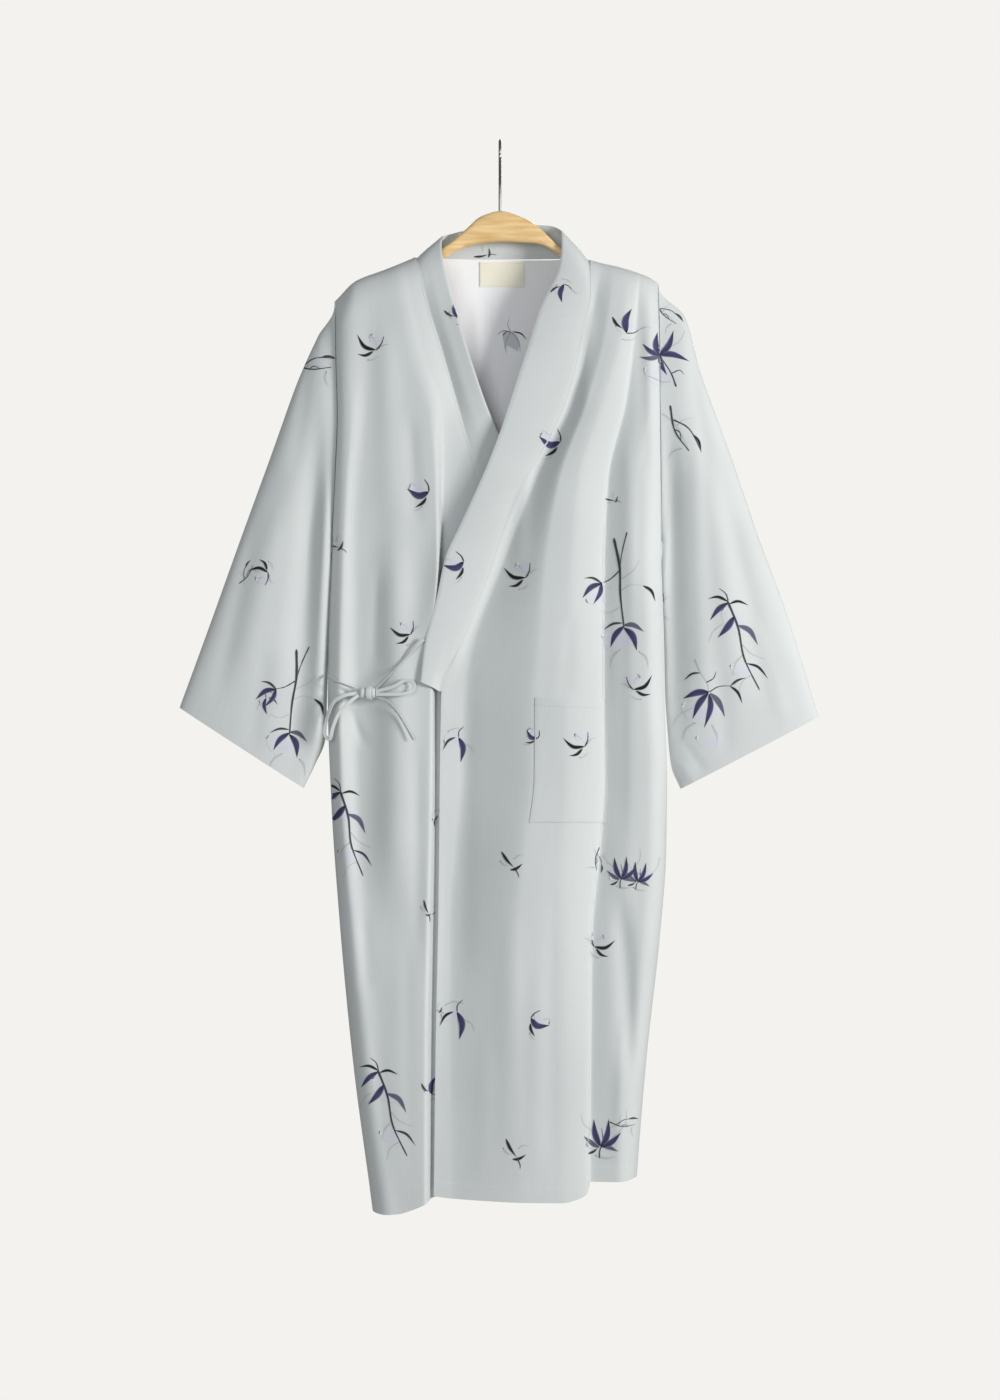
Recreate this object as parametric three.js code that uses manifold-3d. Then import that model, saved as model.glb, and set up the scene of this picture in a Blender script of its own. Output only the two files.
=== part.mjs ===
// A silk wrap robe on a contoured wood hanger, hung flat as a garment is shown
// in a shop. Millimetres, +Z up, the front faces -Y. The origin is where a rail
// bears inside the top of the hanger's hook.
import * as THREE from 'three';
import { mergeVertices } from 'three/addons/utils/BufferGeometryUtils.js';
import Module from 'manifold-3d';

const wasm = await Module();
wasm.setup();

// ---------------------------------------------------------------- sizes, mm
const CLOTH = 1.6;          // wall of the body, sleeves and pocket
const BAND = 2.4;           // collar band, doubled cloth
const SEAM = 0.3;           // gap between two pieces sewn together
const ROLL = 38;            // height over which the cloth rolls over the shoulder
const SIDE_ROLL = 24;       // width over which a side turns to its seam
const ARMHOLE = 9;          // half depth of the armhole where the sleeve is set in
const WIRE = 3.5;           // hook wire
const HOOK_R = 17;          // hook bend, on the wire's centre line
const TIE = [5, 1.5];       // tie width and thickness
const LABEL = [53, 30, 0.8];

// The right front (under), a row per height: x of the side, then x and depth
// forward of the ridge, the valley, the crest of the long roll, the turn behind
// the other front, and the hidden edge.
const RIGHT_FRONT_COLS = 'z side ridge ridgeF valley valleyF crest crestF turn turnF edge edgeF';
const RIGHT_FRONT = [
  [-139, -197, -178, 20, -156, 21, -130, 21, -115, 20, -102, 20],
  [-250, -196, -175, 21, -151, 18, -108, 22, -90, 21, -72, 20],
  [-328, -194, -175, 22, -150, 16, -85, 23, -67, 18, -49, 15],
  [-406, -197, -178, 23, -150, 13, -78, 22, -64, 10, -28, 9],
  [-502, -202, -181, 23, -149, 12, -74, 20, -61, 9, 10, 8],
  [-598, -205, -186, 23, -149, 11, -82, 17, -65, 9, 48, 8],
  [-670, -206, -187, 24, -149, 12, -83, 24, -72, 10, 72, 8],
  [-790, -202, -184, 26, -149, 15, -84, 29, -72, 11, 79, 9],
  [-934, -192, -173, 28, -142, 23, -88, 31, -76, 12, 79, 10],
  [-1102, -176, -157, 30, -132, 27, -91, 33, -78, 12, 79, 10],
  [-1282, -152, -136, 31, -119, 30, -91, 34, -78, 13, 79, 11],
];

// The left front (over), a row per height: x and depth forward of the free edge,
// the hollow, the flat, the ridge, the overlapping fold, the recess beside it
// and the far ridge, then x of the side.
const LEFT_FRONT_COLS = 'z edge edgeF hollow hollowF flat flatF ridge ridgeF fold foldF recess recessF far farF side';
const LEFT_FRONT = [
  [-139, 108, 20, 125, 21, 142, 21, 156, 21, 166, 21, 170, 21, 180, 20, 188],
  [-226, 98, 22, 118, 20, 132, 24, 146, 25, 156, 24, 164, 22, 180, 22, 190],
  [-310, 79, 22, 101, 19, 120, 28, 134, 27, 146, 22, 158, 18, 178, 24, 191],
  [-406, 31, 22, 59, 19, 91, 29, 113, 32, 127, 28, 146, 18, 175, 25, 192],
  [-514, -12, 23, 24, 19, 66, 24, 102, 33, 120, 30, 144, 19, 173, 26, 193],
  [-610, -50, 25, 0, 20, 58, 27, 100, 34, 119, 31, 142, 20, 173, 27, 196],
  [-670, -70, 22, -6, 20, 43, 29, 106, 36, 120, 33, 137, 21, 170, 27, 197],
  [-763, -71, 20, -12, 20, 41, 30, 113, 38, 127, 34, 134, 20, 170, 27, 200],
  [-850, -72, 20, -16, 20, 40, 32, 103, 38, 116, 34, 122, 20, 168, 25, 199],
  [-946, -74, 21, -16, 21, 40, 33, 95, 39, 108, 35, 114, 21, 169, 26, 192],
  [-1102, -77, 22, -17, 24, 36, 35, 92, 40, 106, 36, 112, 22, 156, 27, 175],
  [-1270, -79, 23, -17, 27, 36, 37, 90, 41, 103, 37, 109, 24, 139, 29, 161],
];

// The collar seams on the two fronts, below them the front edges: z, x.
const SEAM_UNDER = [
  [-139, -102],
  [-199, -88],
  [-250, -72],
  [-298, -58],
  [-359, -41],
  [-418, -23],
  [-478, 1],
  [-514, 14],
  [-564, 34],
  [-616, 55],
  [-656, 72],
  [-790, 79],
  [-1282, 79],
];
const SEAM_OVER = [
  [-142, 108],
  [-184, 108],
  [-220, 100],
  [-268, 91],
  [-310, 79],
  [-355, 59],
  [-418, 24],
  [-478, 0],
  [-514, -12],
  [-564, -31],
  [-616, -53],
  [-656, -70],
  [-934, -74],
  [-1090, -77],
  [-1270, -79],
];

// The free edge of the collar band against its seam. Fronts: seam z, then
// x, z and depth forward of the free edge. Neck: seam x, then the same.
const FREE_UNDER = [
  [-139, -69, -113, 2],
  [-154, -70, -126, 11],
  [-178, -68, -144, 17],
  [-199, -61, -174, 18],
  [-250, -46, -227, 17],
  [-298, -29, -280, 15],
  [-359, -4, -346, 11],
  [-418, 22, -408, 8],
  [-478, 49, -462, 8],
  [-564, 78, -552, 8],
  [-616, 92, -606, 8],
  [-656, 97, -648, 8],
];
const FREE_OVER = [
  [-142, 74, -107, 2],
  [-156, 74, -121, 11],
  [-184, 71, -151, 18],
  [-220, 49, -198, 22],
  [-268, 34, -246, 24],
  [-310, 17, -298, 25],
  [-355, 0, -350, 25],
  [-418, -19, -398, 25],
  [-478, -48, -462, 25],
  [-514, -65, -499, 26],
  [-564, -76, -550, 27],
  [-616, -90, -604, 27],
  [-656, -95, -648, 27],
];
const FREE_BACK = [
  [-102, -69, -113, -2],
  [-86, -61, -110, -9],
  [-68, -50, -106, -15],
  [-36, -26, -100, -19],
  [0, 0, -97, -20],
  [36, 26, -97, -19],
  [72, 55, -98, -15],
  [92, 67, -101, -9],
  [108, 74, -107, -2],
];

// Top line of the body over the hanger, carried up behind the neck: x, z.
const SHOULDER = [
  [-204, -194],
  [-196, -190],
  [-174, -168],
  [-138, -154],
  [-102, -139],
  [-68, -121],
  [-36, -103],
  [0, -96],
  [36, -101],
  [74, -121],
  [108, -142],
  [144, -151],
  [174, -161],
  [188, -169],
  [197, -178],
];
const NECK = { left: -102, right: 108, z: -139 };   // where the band leaves the shoulder seam
const BACK_HEM = { left: -1274, right: -1238 };

// How far the back stands behind the side seams: z, depth.
const BACK_DEPTH = [
  [-106, 24],
  [-310, 21],
  [-502, 20],
  [-670, 21],
  [-910, 24],
  [-1102, 27],
  [-1282, 30],
];

// Sleeves, a row per ring from armhole to cuff: x and z of the top edge, x and z
// of the underside, half depth, and how far the ring sits back.
const RIGHT_SLEEVE = [
  [-197, -191, -199, -478, 9, 0],
  [-218, -233, -203, -540, 15, 3],
  [-240, -281, -206, -600, 18, 5],
  [-276, -380, -208, -658, 20, 6],
  [-312, -479, -210, -714, 20, 5],
  [-348, -580, -222, -746, 18, 3],
  [-384, -679, -236, -775, 15, 0],
];
const LEFT_SLEEVE = [
  [188, -170, 193, -478, 9, 0],
  [221, -209, 196, -550, 15, 3],
  [240, -275, 198, -610, 18, 5],
  [275, -371, 199, -660, 20, 6],
  [308, -468, 202, -708, 20, 5],
  [343, -564, 206, -748, 18, 3],
  [382, -690, 217, -776, 15, 0],
];

// Long folds: x and z of the upper end, x and z of the lower end, width, height.
const FOLDS_BACK = [
  [-154, -334, -144, -1174, 22, 6],
  [-110, -598, -118, -1270, 16, -5],
  [-64, -226, -58, -910, 24, 5],
  [-2, -502, -7, -1270, 20, -7],
  [48, -190, 58, -790, 26, 6],
  [108, -454, 96, -1258, 20, -6],
  [154, -286, 144, -1030, 18, 5],
];
const FOLDS_LEFT_FRONT = [
  [143, -886, 158, -1138, 11, -9],
];
const FOLDS_RIGHT_SLEEVE = [
  [-221, -304, -240, -670, 11, -6],
  [-258, -406, -312, -658, 16, 4],
];
const FOLDS_LEFT_SLEEVE = [
  [206, -334, 221, -694, 9, -6],
  [246, -346, 288, -706, 16, 4],
];

// Hanger bar, a row per station along it: x, top z, bottom z, thickness.
const BAR = [
  [-191, -188, -199, 9],
  [-174, -176, -192, 11],
  [-138, -161, -178, 12],
  [-102, -146, -161, 12],
  [-68, -127, -140, 12],
  [-40, -104, -126, 12],
  [-24, -90, -122, 12],
  [1, -83, -120, 12],
  [25, -90, -121, 12],
  [42, -99, -122, 12],
  [73, -127, -137, 12],
  [108, -148, -162, 12],
  [144, -158, -175, 12],
  [174, -170, -186, 11],
  [185, -179, -190, 9],
];

// ------------------------------------------------------------ cloth as walls
const { min, max, abs, sqrt, cos, sin, sign, PI } = Math;
const mix = (a, b, t) => a + (b - a) * t;
const clamp = t => min(1, max(0, t));
const ease = t => { t = clamp(t); return t * t * (3 - 2 * t); };

// A smooth curve without overshoot through a table, column b against column a.
function through(rows, a, b) {
  const p = rows.map(r => [r[a], r[b]]).sort((m, n) => m[0] - n[0]);
  const d = p.slice(1).map((q, i) => (q[1] - p[i][1]) / (q[0] - p[i][0]));
  const m = p.map((_, i) => {
    if (i === 0) return d[0];
    if (i === d.length) return d[i - 1];
    return d[i - 1] * d[i] <= 0 ? 0 : 2 * d[i - 1] * d[i] / (d[i - 1] + d[i]);
  });
  return t => {
    let i = 0;
    while (i < d.length - 1 && t > p[i + 1][0]) i++;
    const h = p[i + 1][0] - p[i][0], s = (t - p[i][0]) / h;
    if (s < 0) return p[0][1] + (t - p[0][0]) * m[0];
    if (s > 1) return p[i + 1][1] + (t - p[i + 1][0]) * m[i + 1];
    return (2 * s ** 3 - 3 * s ** 2 + 1) * p[i][1] + (s ** 3 - 2 * s ** 2 + s) * h * m[i]
      + (3 * s ** 2 - 2 * s ** 3) * p[i + 1][1] + (s ** 3 - s ** 2) * h * m[i + 1];
  };
}
const columns = (names, rows) => {
  const key = names.split(' ');
  return Object.fromEntries(key.slice(1).map((k, i) => [k, through(rows, 0, i + 1)]));
};

// Sum of the long folds at (x, z), each fading in and out along its length.
function folds(rows, x, z) {
  let out = 0;
  for (const [x0, z0, x1, z1, width, height] of rows) {
    const t = (z0 - z) / (z0 - z1), fade = ease(t / 0.3) * ease((1 - t) / 0.25);
    if (t <= 0 || t >= 1) continue;
    const s = (x - mix(x0, x1, t)) / (width * (0.8 + 0.4 * t));
    out += height * fade * Math.exp(-s * s);
  }
  return out;
}

const shoulderZ = through(SHOULDER, 0, 1);
// quarter-round roll: 0 at the seam, 1 once `over` of the way is passed
const rolled = (d, over) => { const t = 1 - clamp(d / over); return sqrt(1 - t * t); };

// Turns a grid of surface points into one closed wall of the given thickness.
// around = true joins the first and last column, so the wall becomes a tube.
// half = -1 or 1 keeps the wall on that side of the middle plane, where the
// front and back are sewn together.
function wall(grid, thickness, around = false, half = 0) {
  const nu = grid.length, nv = grid[0].length;
  const at = (i, j) => {
    if (around) i = (i + nu) % nu;
    return grid[min(nu - 1, max(0, i))][min(nv - 1, max(0, j))];
  };
  const a = new THREE.Vector3(), b = new THREE.Vector3();
  const pos = [], face = [];
  for (const side of [0.5, -0.5]) {
    for (let i = 0; i < nu; i++) for (let j = 0; j < nv; j++) {
      a.subVectors(at(i + 1, j), at(i - 1, j));
      b.subVectors(at(i, j + 1), at(i, j - 1));
      a.cross(b);
      // an edge sewn on the middle plane is kept square to it
      if (abs(at(i, j).y) < SEAM) a.y = 0;
      a.normalize().multiplyScalar(side * thickness).add(at(i, j));
      if (half) a.y = half * max(half * a.y, SEAM / 2);
      pos.push(a.x, a.y, a.z);
    }
  }
  const O = (i, j) => (i % nu) * nv + j, I = (i, j) => nu * nv + O(i, j);
  const quad = (p, q, r, s) => face.push(p, q, r, p, r, s);
  for (let i = 0; i < (around ? nu : nu - 1); i++) for (let j = 0; j < nv - 1; j++) {
    quad(O(i, j), O(i + 1, j), O(i + 1, j + 1), O(i, j + 1));
    quad(I(i, j), I(i, j + 1), I(i + 1, j + 1), I(i + 1, j));
  }
  for (let i = 0; i < (around ? nu : nu - 1); i++) {
    quad(O(i, 0), I(i, 0), I(i + 1, 0), O(i + 1, 0));
    quad(O(i, nv - 1), O(i + 1, nv - 1), I(i + 1, nv - 1), I(i, nv - 1));
  }
  if (!around) for (let j = 0; j < nv - 1; j++) {
    quad(O(0, j), O(0, j + 1), I(0, j + 1), I(0, j));
    quad(O(nu - 1, j), I(nu - 1, j), I(nu - 1, j + 1), O(nu - 1, j + 1));
  }
  return faceOut(pos, face);
}

// A solid loft: rings of equal length, closed at both ends by a fan.
function loft(rings) {
  const n = rings[0].length, pos = [], face = [];
  for (const r of rings) for (const p of r) pos.push(p.x, p.y, p.z);
  for (let k = 0; k < rings.length - 1; k++) for (let i = 0; i < n; i++) {
    const a = k * n + i, b = k * n + (i + 1) % n;
    face.push(a, b, b + n, a, b + n, a + n);
  }
  for (const [k, flip] of [[0, true], [rings.length - 1, false]]) {
    for (let i = 1; i < n - 1; i++) {
      const f = [k * n, k * n + i, k * n + i + 1];
      face.push(...(flip ? f.reverse() : f));
    }
  }
  return faceOut(pos, face);
}

function faceOut(pos, face) {
  let v = 0;
  const p = i => new THREE.Vector3(pos[3 * i], pos[3 * i + 1], pos[3 * i + 2]);
  for (let f = 0; f < face.length; f += 3) v += p(face[f]).dot(p(face[f + 1]).cross(p(face[f + 2])));
  if (v < 0) for (let f = 0; f < face.length; f += 3) [face[f], face[f + 1]] = [face[f + 1], face[f]];
  const g = new THREE.BufferGeometry();
  g.setAttribute('position', new THREE.Float32BufferAttribute(pos, 3));
  g.setIndex(face);
  g.computeVertexNormals();
  return g;
}

// ------------------------------------------------------------- front panels
// A front is a set of lines down the cloth. Each line runs from the shoulder to
// the hem; across them a smooth curve gives x and depth, so the sections keep
// their ridges, valleys and turned-under edges.
function front(lines, divisions, rows, side) {
  const columnsU = [];
  // even divisions between lines, closer together where the cloth turns to a side
  const last = divisions.length - 1;
  divisions.forEach((n, i) => {
    for (let k = 0; k < n; k++) {
      const t = k / n;
      columnsU.push(i + (i === side.at && i === 0 ? t * t : i === side.at ? t * (2 - t) : t));
    }
  });
  columnsU.push(last + 1);
  const point = (u, v) => {
    const at = lines.map((l, i) => {
      const z = mix(l.top, l.hem, v);
      return [i, l.x(z), z, l.f(z)];
    });
    const x = through(at, 0, 1)(u), z = through(at, 0, 2)(u);
    let f = through(at, 0, 3)(u);
    const toSide = abs(x - side.x(z));
    f = mix(side.f(z), f, rolled(toSide, SIDE_ROLL));
    if (lines.extra) f += folds(lines.extra, x, z) * ease(toSide / 30);
    const top = side.top(x);
    f *= rolled(top - z, ROLL);
    return new THREE.Vector3(x, -(f + SEAM / 2 + 0.01), z);
  };
  return { point, columnsU, grid: columnsU.map(u => rows.map(v => point(u, v))) };
}
const rowsDown = (length, bandEnd) => {
  // close rows over the shoulder roll, then even ones to the end of the collar
  // band and from there to the hem
  const near = [0, 0.8, 3, 7, 13, 21, 31].map(d => d / length);
  const upper = Array.from({ length: 12 }, (_, i) => mix(near.at(-1), bandEnd, (i + 1) / 12));
  const lower = Array.from({ length: 13 }, (_, i) => mix(bandEnd, 1, (i + 1) / 13));
  return [...near, ...upper, ...lower];
};
const armDepth = (top, bottom) => z => {
  const t = (z - bottom) / (top - bottom);
  return t <= 0 || t >= 1 ? 0 : ARMHOLE * sqrt(1 - (2 * t - 1) ** 2) ** 0.8;
};

const R = columns(RIGHT_FRONT_COLS, RIGHT_FRONT);
const seamUnder = through(SEAM_UNDER, 0, 1);
const armR = armDepth(RIGHT_SLEEVE[0][1], RIGHT_SLEEVE[0][3]);
const rightLines = [
  { x: R.side, f: R.ridgeF, hem: -1282 },
  { x: R.ridge, f: R.ridgeF, hem: -1284 },
  { x: R.valley, f: R.valleyF, hem: -1283 },
  { x: R.crest, f: R.crestF, hem: -1272 },
  { x: R.turn, f: R.turnF, hem: -1264 },
  { x: seamUnder, f: R.edgeF, hem: -1258 },
];
const L = columns(LEFT_FRONT_COLS, LEFT_FRONT);
const seamOver = through(SEAM_OVER, 0, 1);
const armL = armDepth(LEFT_SLEEVE[0][1], LEFT_SLEEVE[0][3]);
const leftLines = [
  { x: seamOver, f: L.edgeF, hem: -1262 },
  { x: L.hollow, f: L.hollowF, hem: -1265 },
  { x: L.flat, f: L.flatF, hem: -1268 },
  { x: L.ridge, f: L.ridgeF, hem: -1268 },
  { x: L.fold, f: L.foldF, hem: -1258 },
  { x: L.recess, f: L.recessF, hem: -1244 },
  { x: L.far, f: L.farF, hem: -1244 },
  { x: L.side, f: L.farF, hem: -1240 },
];
leftLines.extra = FOLDS_LEFT_FRONT;
// each line starts on the shoulder seam, where its own x meets it
for (const line of [...rightLines, ...leftLines]) {
  let z = -200;
  for (let k = 0; k < 40; k++) z = shoulderZ(line.x(z));
  line.top = z;
}
const rightFront = front(rightLines, [6, 3, 5, 5, 5], rowsDown(1120, 0.462), { at: 0, x: R.side, f: armR, top: shoulderZ });
const leftFront = front(leftLines, [4, 4, 4, 3, 3, 3, 6], rowsDown(1120, 0.46), { at: 6, x: L.side, f: armL, top: shoulderZ });

// ---------------------------------------------------------------------- back
const backDepth = through(BACK_DEPTH, 0, 1);
const sideR = R.side, sideL = L.side;
const backTop = x => min(shoulderZ(x), NECK.z);
const backRows = [0, 1, 4, 9, 16, 25, 36].map(d => d / 1120);
for (let i = 1; i <= 20; i++) backRows.push(mix(36 / 1120, 1, i / 20));
function backPoint(u, v) {
  // u runs from the right side (wearer's) to the left, closer together at both sides
  let x = 0, z = 0;
  const topX = mix(R.side(-190), L.side(-170), u), hem = mix(BACK_HEM.left, BACK_HEM.right, u);
  z = mix(backTop(topX), hem, v);
  x = mix(sideR(z), sideL(z), u);
  const toSide = min(x - sideR(z), sideL(z) - x);
  const arm = x < 0 ? armR(z) : armL(z);
  let f = mix(arm, backDepth(z), rolled(toSide, SIDE_ROLL));
  f += folds(FOLDS_BACK, x, z) * ease(toSide / 40);
  f *= rolled(shoulderZ(x) - z, ROLL);
  return new THREE.Vector3(x, f + SEAM / 2 + 0.01, z);
}
const neckU = x => (x - R.side(-190)) / (L.side(-170) - R.side(-190));
const backU = [0, 0.003, 0.012, 0.03, 0.06, 0.11, 0.17];
for (let i = 0; i <= 12; i++) backU.push(mix(neckU(NECK.left), neckU(NECK.right), i / 12));
backU.push(0.86, 0.91, 0.95, 0.974, 0.989, 0.997, 1);
const backGrid = backU.map(u => backRows.map(v => backPoint(u, v)));

// The point of a grid of cloth at (x, z), moved out of its front face.
function lying(grid, x, z, out) {
  const row = grid.map(col => {
    let j = 0;
    while (j < col.length - 2 && z < col[j + 1].z) j++;
    return { j, p: col[j].clone().lerp(col[j + 1], (z - col[j].z) / (col[j + 1].z - col[j].z)) };
  });
  let i = 0;
  while (i < row.length - 2 && x > row[i + 1].p.x) i++;
  const t = (x - row[i].p.x) / (row[i + 1].p.x - row[i].p.x);
  const across = row[i + 1].p.clone().sub(row[i].p);
  const down = grid[i][row[i].j + 1].clone().sub(grid[i][row[i].j]);
  const n = down.cross(across).normalize();
  if (n.y > 0) n.negate();
  return row[i].p.clone().lerp(row[i + 1].p, t).addScaledVector(n, out);
}

// --------------------------------------------------------------- collar band
// One band: up the right front's seam, round the neck and down the left front.
// Each row starts on the seam's own points, leaves it in the plane of the panel
// and crosses to the free edge with a soft roll.
function bandRow(seam, inward, free, roll, gap = 0.45) {
  const away = inward.clone().normalize();
  const row = [gap, 3.5].map(d => seam.clone().addScaledVector(away, d));
  for (const t of [0.42, 0.72, 0.92, 1]) {
    const p = seam.clone().lerp(free, t);
    p.y -= roll * sin(PI * min(1, t)) * 0.6;
    row.push(p);
  }
  return row;
}
const free = rows => {
  const s = rows.map(r => r[0]);
  const [x, z, f] = [1, 2, 3].map(c => through(rows, 0, c));
  return t => { const k = min(max(...s), max(min(...s), t)); return new THREE.Vector3(x(k), -f(k), z(k)); };
};
const freeUnder = free(FREE_UNDER), freeOver = free(FREE_OVER), freeBack = free(FREE_BACK);
const bandRows = [];
const edgeR = rightFront.grid.at(-1), insideR = rightFront.grid.at(-2);
const edgeL = leftFront.grid[0], insideL = leftFront.grid[1];
for (let j = edgeR.length - 1; j >= 0; j--) {
  if (edgeR[j].z < -662) continue;
  bandRows.push(bandRow(edgeR[j], edgeR[j].clone().sub(insideR[j]), freeUnder(edgeR[j].z), 2));
}
backU.forEach((u, i) => {
  const p = backGrid[i][0];
  if (p.x < NECK.left + 4 || p.x > NECK.right - 4) return;
  bandRows.push(bandRow(p, p.clone().sub(backGrid[i][1]), freeBack(p.x), 0, 1.2));
});
for (let j = 0; j < edgeL.length; j++) {
  if (edgeL[j].z < -662) continue;
  bandRows.push(bandRow(edgeL[j], edgeL[j].clone().sub(insideL[j]), freeOver(edgeL[j].z), 3));
}

// ------------------------------------------------------------------- sleeves
// Each ring is a flattened oval from the top edge to the underside. The first
// follows the armhole; below the armpit the sleeve stays beside the body.
function sleeve(table, creases, side, arm, out) {
  const rows = table.map((r, i) => [i, ...r]);
  const [tx, tz, bx, bz, depth, back] = [1, 2, 3, 4, 5, 6].map(c => through(rows, 0, c));
  const rings = 14, around = 22, grid = [];
  for (let i = 0; i < around; i++) {
    const a = 2 * PI * i / around, c = cos(a), s = sin(a), col = [];
    for (let j = 0; j <= rings; j++) {
      const k = (table.length - 1) * (j / rings) ** 1.15;
      const half = (1 + sign(c) * abs(c) ** 0.85) / 2;
      let x = mix(bx(k), tx(k), half), z = mix(bz(k), tz(k), half);
      const clear = mix(mix(1.4, 2.4, ease((0.35 - half) / 0.35)), 3.2, clamp(k * 1.6));
      const near = side(z) + out * clear;
      if (k < 1) x = mix(near, x, ease(k));
      x = out < 0 ? min(x, near) : max(x, near);
      let y = back(k) - sign(s) * abs(s) ** 0.8 * depth(k);
      if (k < 1) y = mix(-sign(s) * arm(z) * rolled(shoulderZ(x) - z, ROLL), y, ease(k));
      if (s > 0) y -= folds(creases, x, z) * s;
      col.push(new THREE.Vector3(x, y, z));
    }
    grid.push(col);
  }
  return grid;
}
const rightSleeve = sleeve(RIGHT_SLEEVE, FOLDS_RIGHT_SLEEVE, R.side, armR, -1);
const leftSleeve = sleeve(LEFT_SLEEVE, FOLDS_LEFT_SLEEVE, L.side, armL, 1);

// --------------------------------------------------------- pocket and label
// The pocket is the panel's own points between two of its lines, moved out.
const pocketTop = through([[43, -667], [119, -671], [137, -680]], 0, 1);
const pocketBottom = through([[40, -815], [119, -816], [130, -817]], 0, 1);
const pocketGrid = [];
const lastPocketU = 5;
leftFront.columnsU.forEach((u, i) => {
  if (u < 2 || u > lastPocketU) return;
  const col = leftFront.grid[i];
  const zs = [pocketTop(col[18].x)];
  for (const p of col) if (p.z < -690 && p.z > -808) zs.push(p.z);
  zs.push(pocketBottom(col[22].x));
  pocketGrid.push(zs.map(z => {
    let j = 0;
    while (j < col.length - 2 && z < col[j + 1].z) j++;
    const t = (z - col[j].z) / (col[j + 1].z - col[j].z);
    const p = col[j].clone().lerp(col[j + 1], t);
    const l = leftFront.grid[i - 1][j], r = leftFront.grid[i + 1][j];
    const n = col[j + 1].clone().sub(col[j]).cross(r.clone().sub(l)).normalize();
    if (n.y > 0) n.negate();
    return p.addScaledVector(n, CLOTH + SEAM + 0.5);
  }));
});
const labelGrid = [0, 1, 2].map(i => [0, 1, 2].map(j =>
  lying(backGrid, mix(-24, -24 + LABEL[0], i / 2), mix(-141.5, -141.5 - LABEL[1], j / 2),
    CLOTH / 2 + SEAM + LABEL[2] / 2)));

// ---------------------------------------------------------------------- ties
// A narrow flat strip along a path of [x, depth forward, z] points.
function ribbon(path, width = TIE[0], thick = TIE[1], steps = 14) {
  const curve = new THREE.CatmullRomCurve3(path.map(([x, f, z]) => new THREE.Vector3(x, -f, z)));
  const rings = [];
  for (let k = 0; k <= steps; k++) {
    const p = curve.getPointAt(k / steps), t = curve.getTangentAt(k / steps);
    const across = t.clone().cross(new THREE.Vector3(0, 1, 0)).normalize().multiplyScalar(width / 2);
    const up = t.clone().cross(across).normalize().multiplyScalar(thick / 2);
    rings.push([[1, 1], [-1, 1], [-1, -1], [1, -1]].map(([a, b]) =>
      p.clone().addScaledVector(across, a).addScaledVector(up, b)));
  }
  return loft(rings);
}
const KNOT = { x: -158, f: 25, z: -661.5, half: [9, 5, 6.5] };
const sidePath = [[-205, 13.5, -640], [-202.6, 20, -642], [-197, 26.2, -646.5], [-186, 28.2, -651], [-168, 22.6, -657.6]];
const frontPath = [[-91, 29.5, -597], [-104, 28.5, -609], [-117, 27, -623], [-130, 25.5, -637], [-148.3, 22.4, -655.5]];
const loopSide = [[-168.3, 25.2, -661.5], [-184, 29, -664], [-198, 29, -672], [-206, 27, -690], [-209, 26, -710],
  [-203, 28, -716], [-199, 29.5, -702], [-192, 31.5, -686], [-181, 31, -674], [-168.9, 27.9, -664]];
const loopFront = [[-147.9, 25.2, -659.5], [-128, 28, -654], [-112, 29, -646], [-103, 29, -650], [-104, 29.5, -658],
  [-113, 30.5, -662], [-130, 30.2, -663], [-148, 27.9, -663]];
const tailPath = [[-147.7, 22.4, -664.8], [-139, 25.5, -669], [-128, 28.5, -678], [-118, 29, -691], [-103, 30, -717]];

// -------------------------------------------------------------------- hanger
const solid = geometry => {
  const g = geometry.clone();
  g.deleteAttribute('normal');
  if (g.attributes.uv) g.deleteAttribute('uv');
  const m = mergeVertices(g, 1e-4);
  return new wasm.Manifold(new wasm.Mesh({
    numProp: 3,
    vertProperties: Float32Array.from(m.attributes.position.array),
    triVerts: Uint32Array.from(m.index.array),
  }));
};
const shape = manifold => {
  const { vertProperties, triVerts } = manifold.getMesh();
  const g = new THREE.BufferGeometry();
  g.setAttribute('position', new THREE.BufferAttribute(vertProperties, 3));
  g.setIndex(new THREE.BufferAttribute(triVerts, 1));
  g.computeVertexNormals();
  return g;
};
const [barTop, barBottom, barThick] = [1, 2, 3].map(c => through(BAR, 0, c));
const barRings = [];
for (let k = 0; k <= 26; k++) {
  const x = mix(BAR[0][0], BAR.at(-1)[0], k / 26);
  const c = (barTop(x) + barBottom(x)) / 2, h = (barTop(x) - barBottom(x)) / 2, d = barThick(x) / 2;
  barRings.push(Array.from({ length: 12 }, (_, i) => {
    const a = 2 * PI * i / 12;
    return new THREE.Vector3(x, d * sign(cos(a)) * abs(cos(a)) ** 0.6, c + h * sign(sin(a)) * abs(sin(a)) ** 0.6);
  }));
}
const socket = new THREE.CylinderGeometry(WIRE / 2 + 0.5, WIRE / 2 + 0.5, 40, 12);
socket.rotateX(PI / 2);
socket.translate(0, 0, barTop(0) - 24 + 20);
const bar = shape(solid(loft(barRings)).subtract(solid(socket)));
const bend = [];
for (let a = 0; a <= 200; a += 25) {
  const r = (a - 10) * PI / 180;
  bend.push(new THREE.Vector3(0, HOOK_R * cos(r), WIRE / 2 - HOOK_R + HOOK_R * sin(r)));
}
const hookPath = new THREE.CatmullRomCurve3([
  new THREE.Vector3(0, 0, barTop(0) - 23), new THREE.Vector3(0, 0, barTop(0) - 8),
  new THREE.Vector3(0, 0, -60), new THREE.Vector3(0, 2.5, -46), new THREE.Vector3(0, 11, -32),
  ...bend,
]);
const wire = new THREE.Shape();
wire.absarc(0, 0, WIRE / 2, 0, 2 * PI, false);
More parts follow.
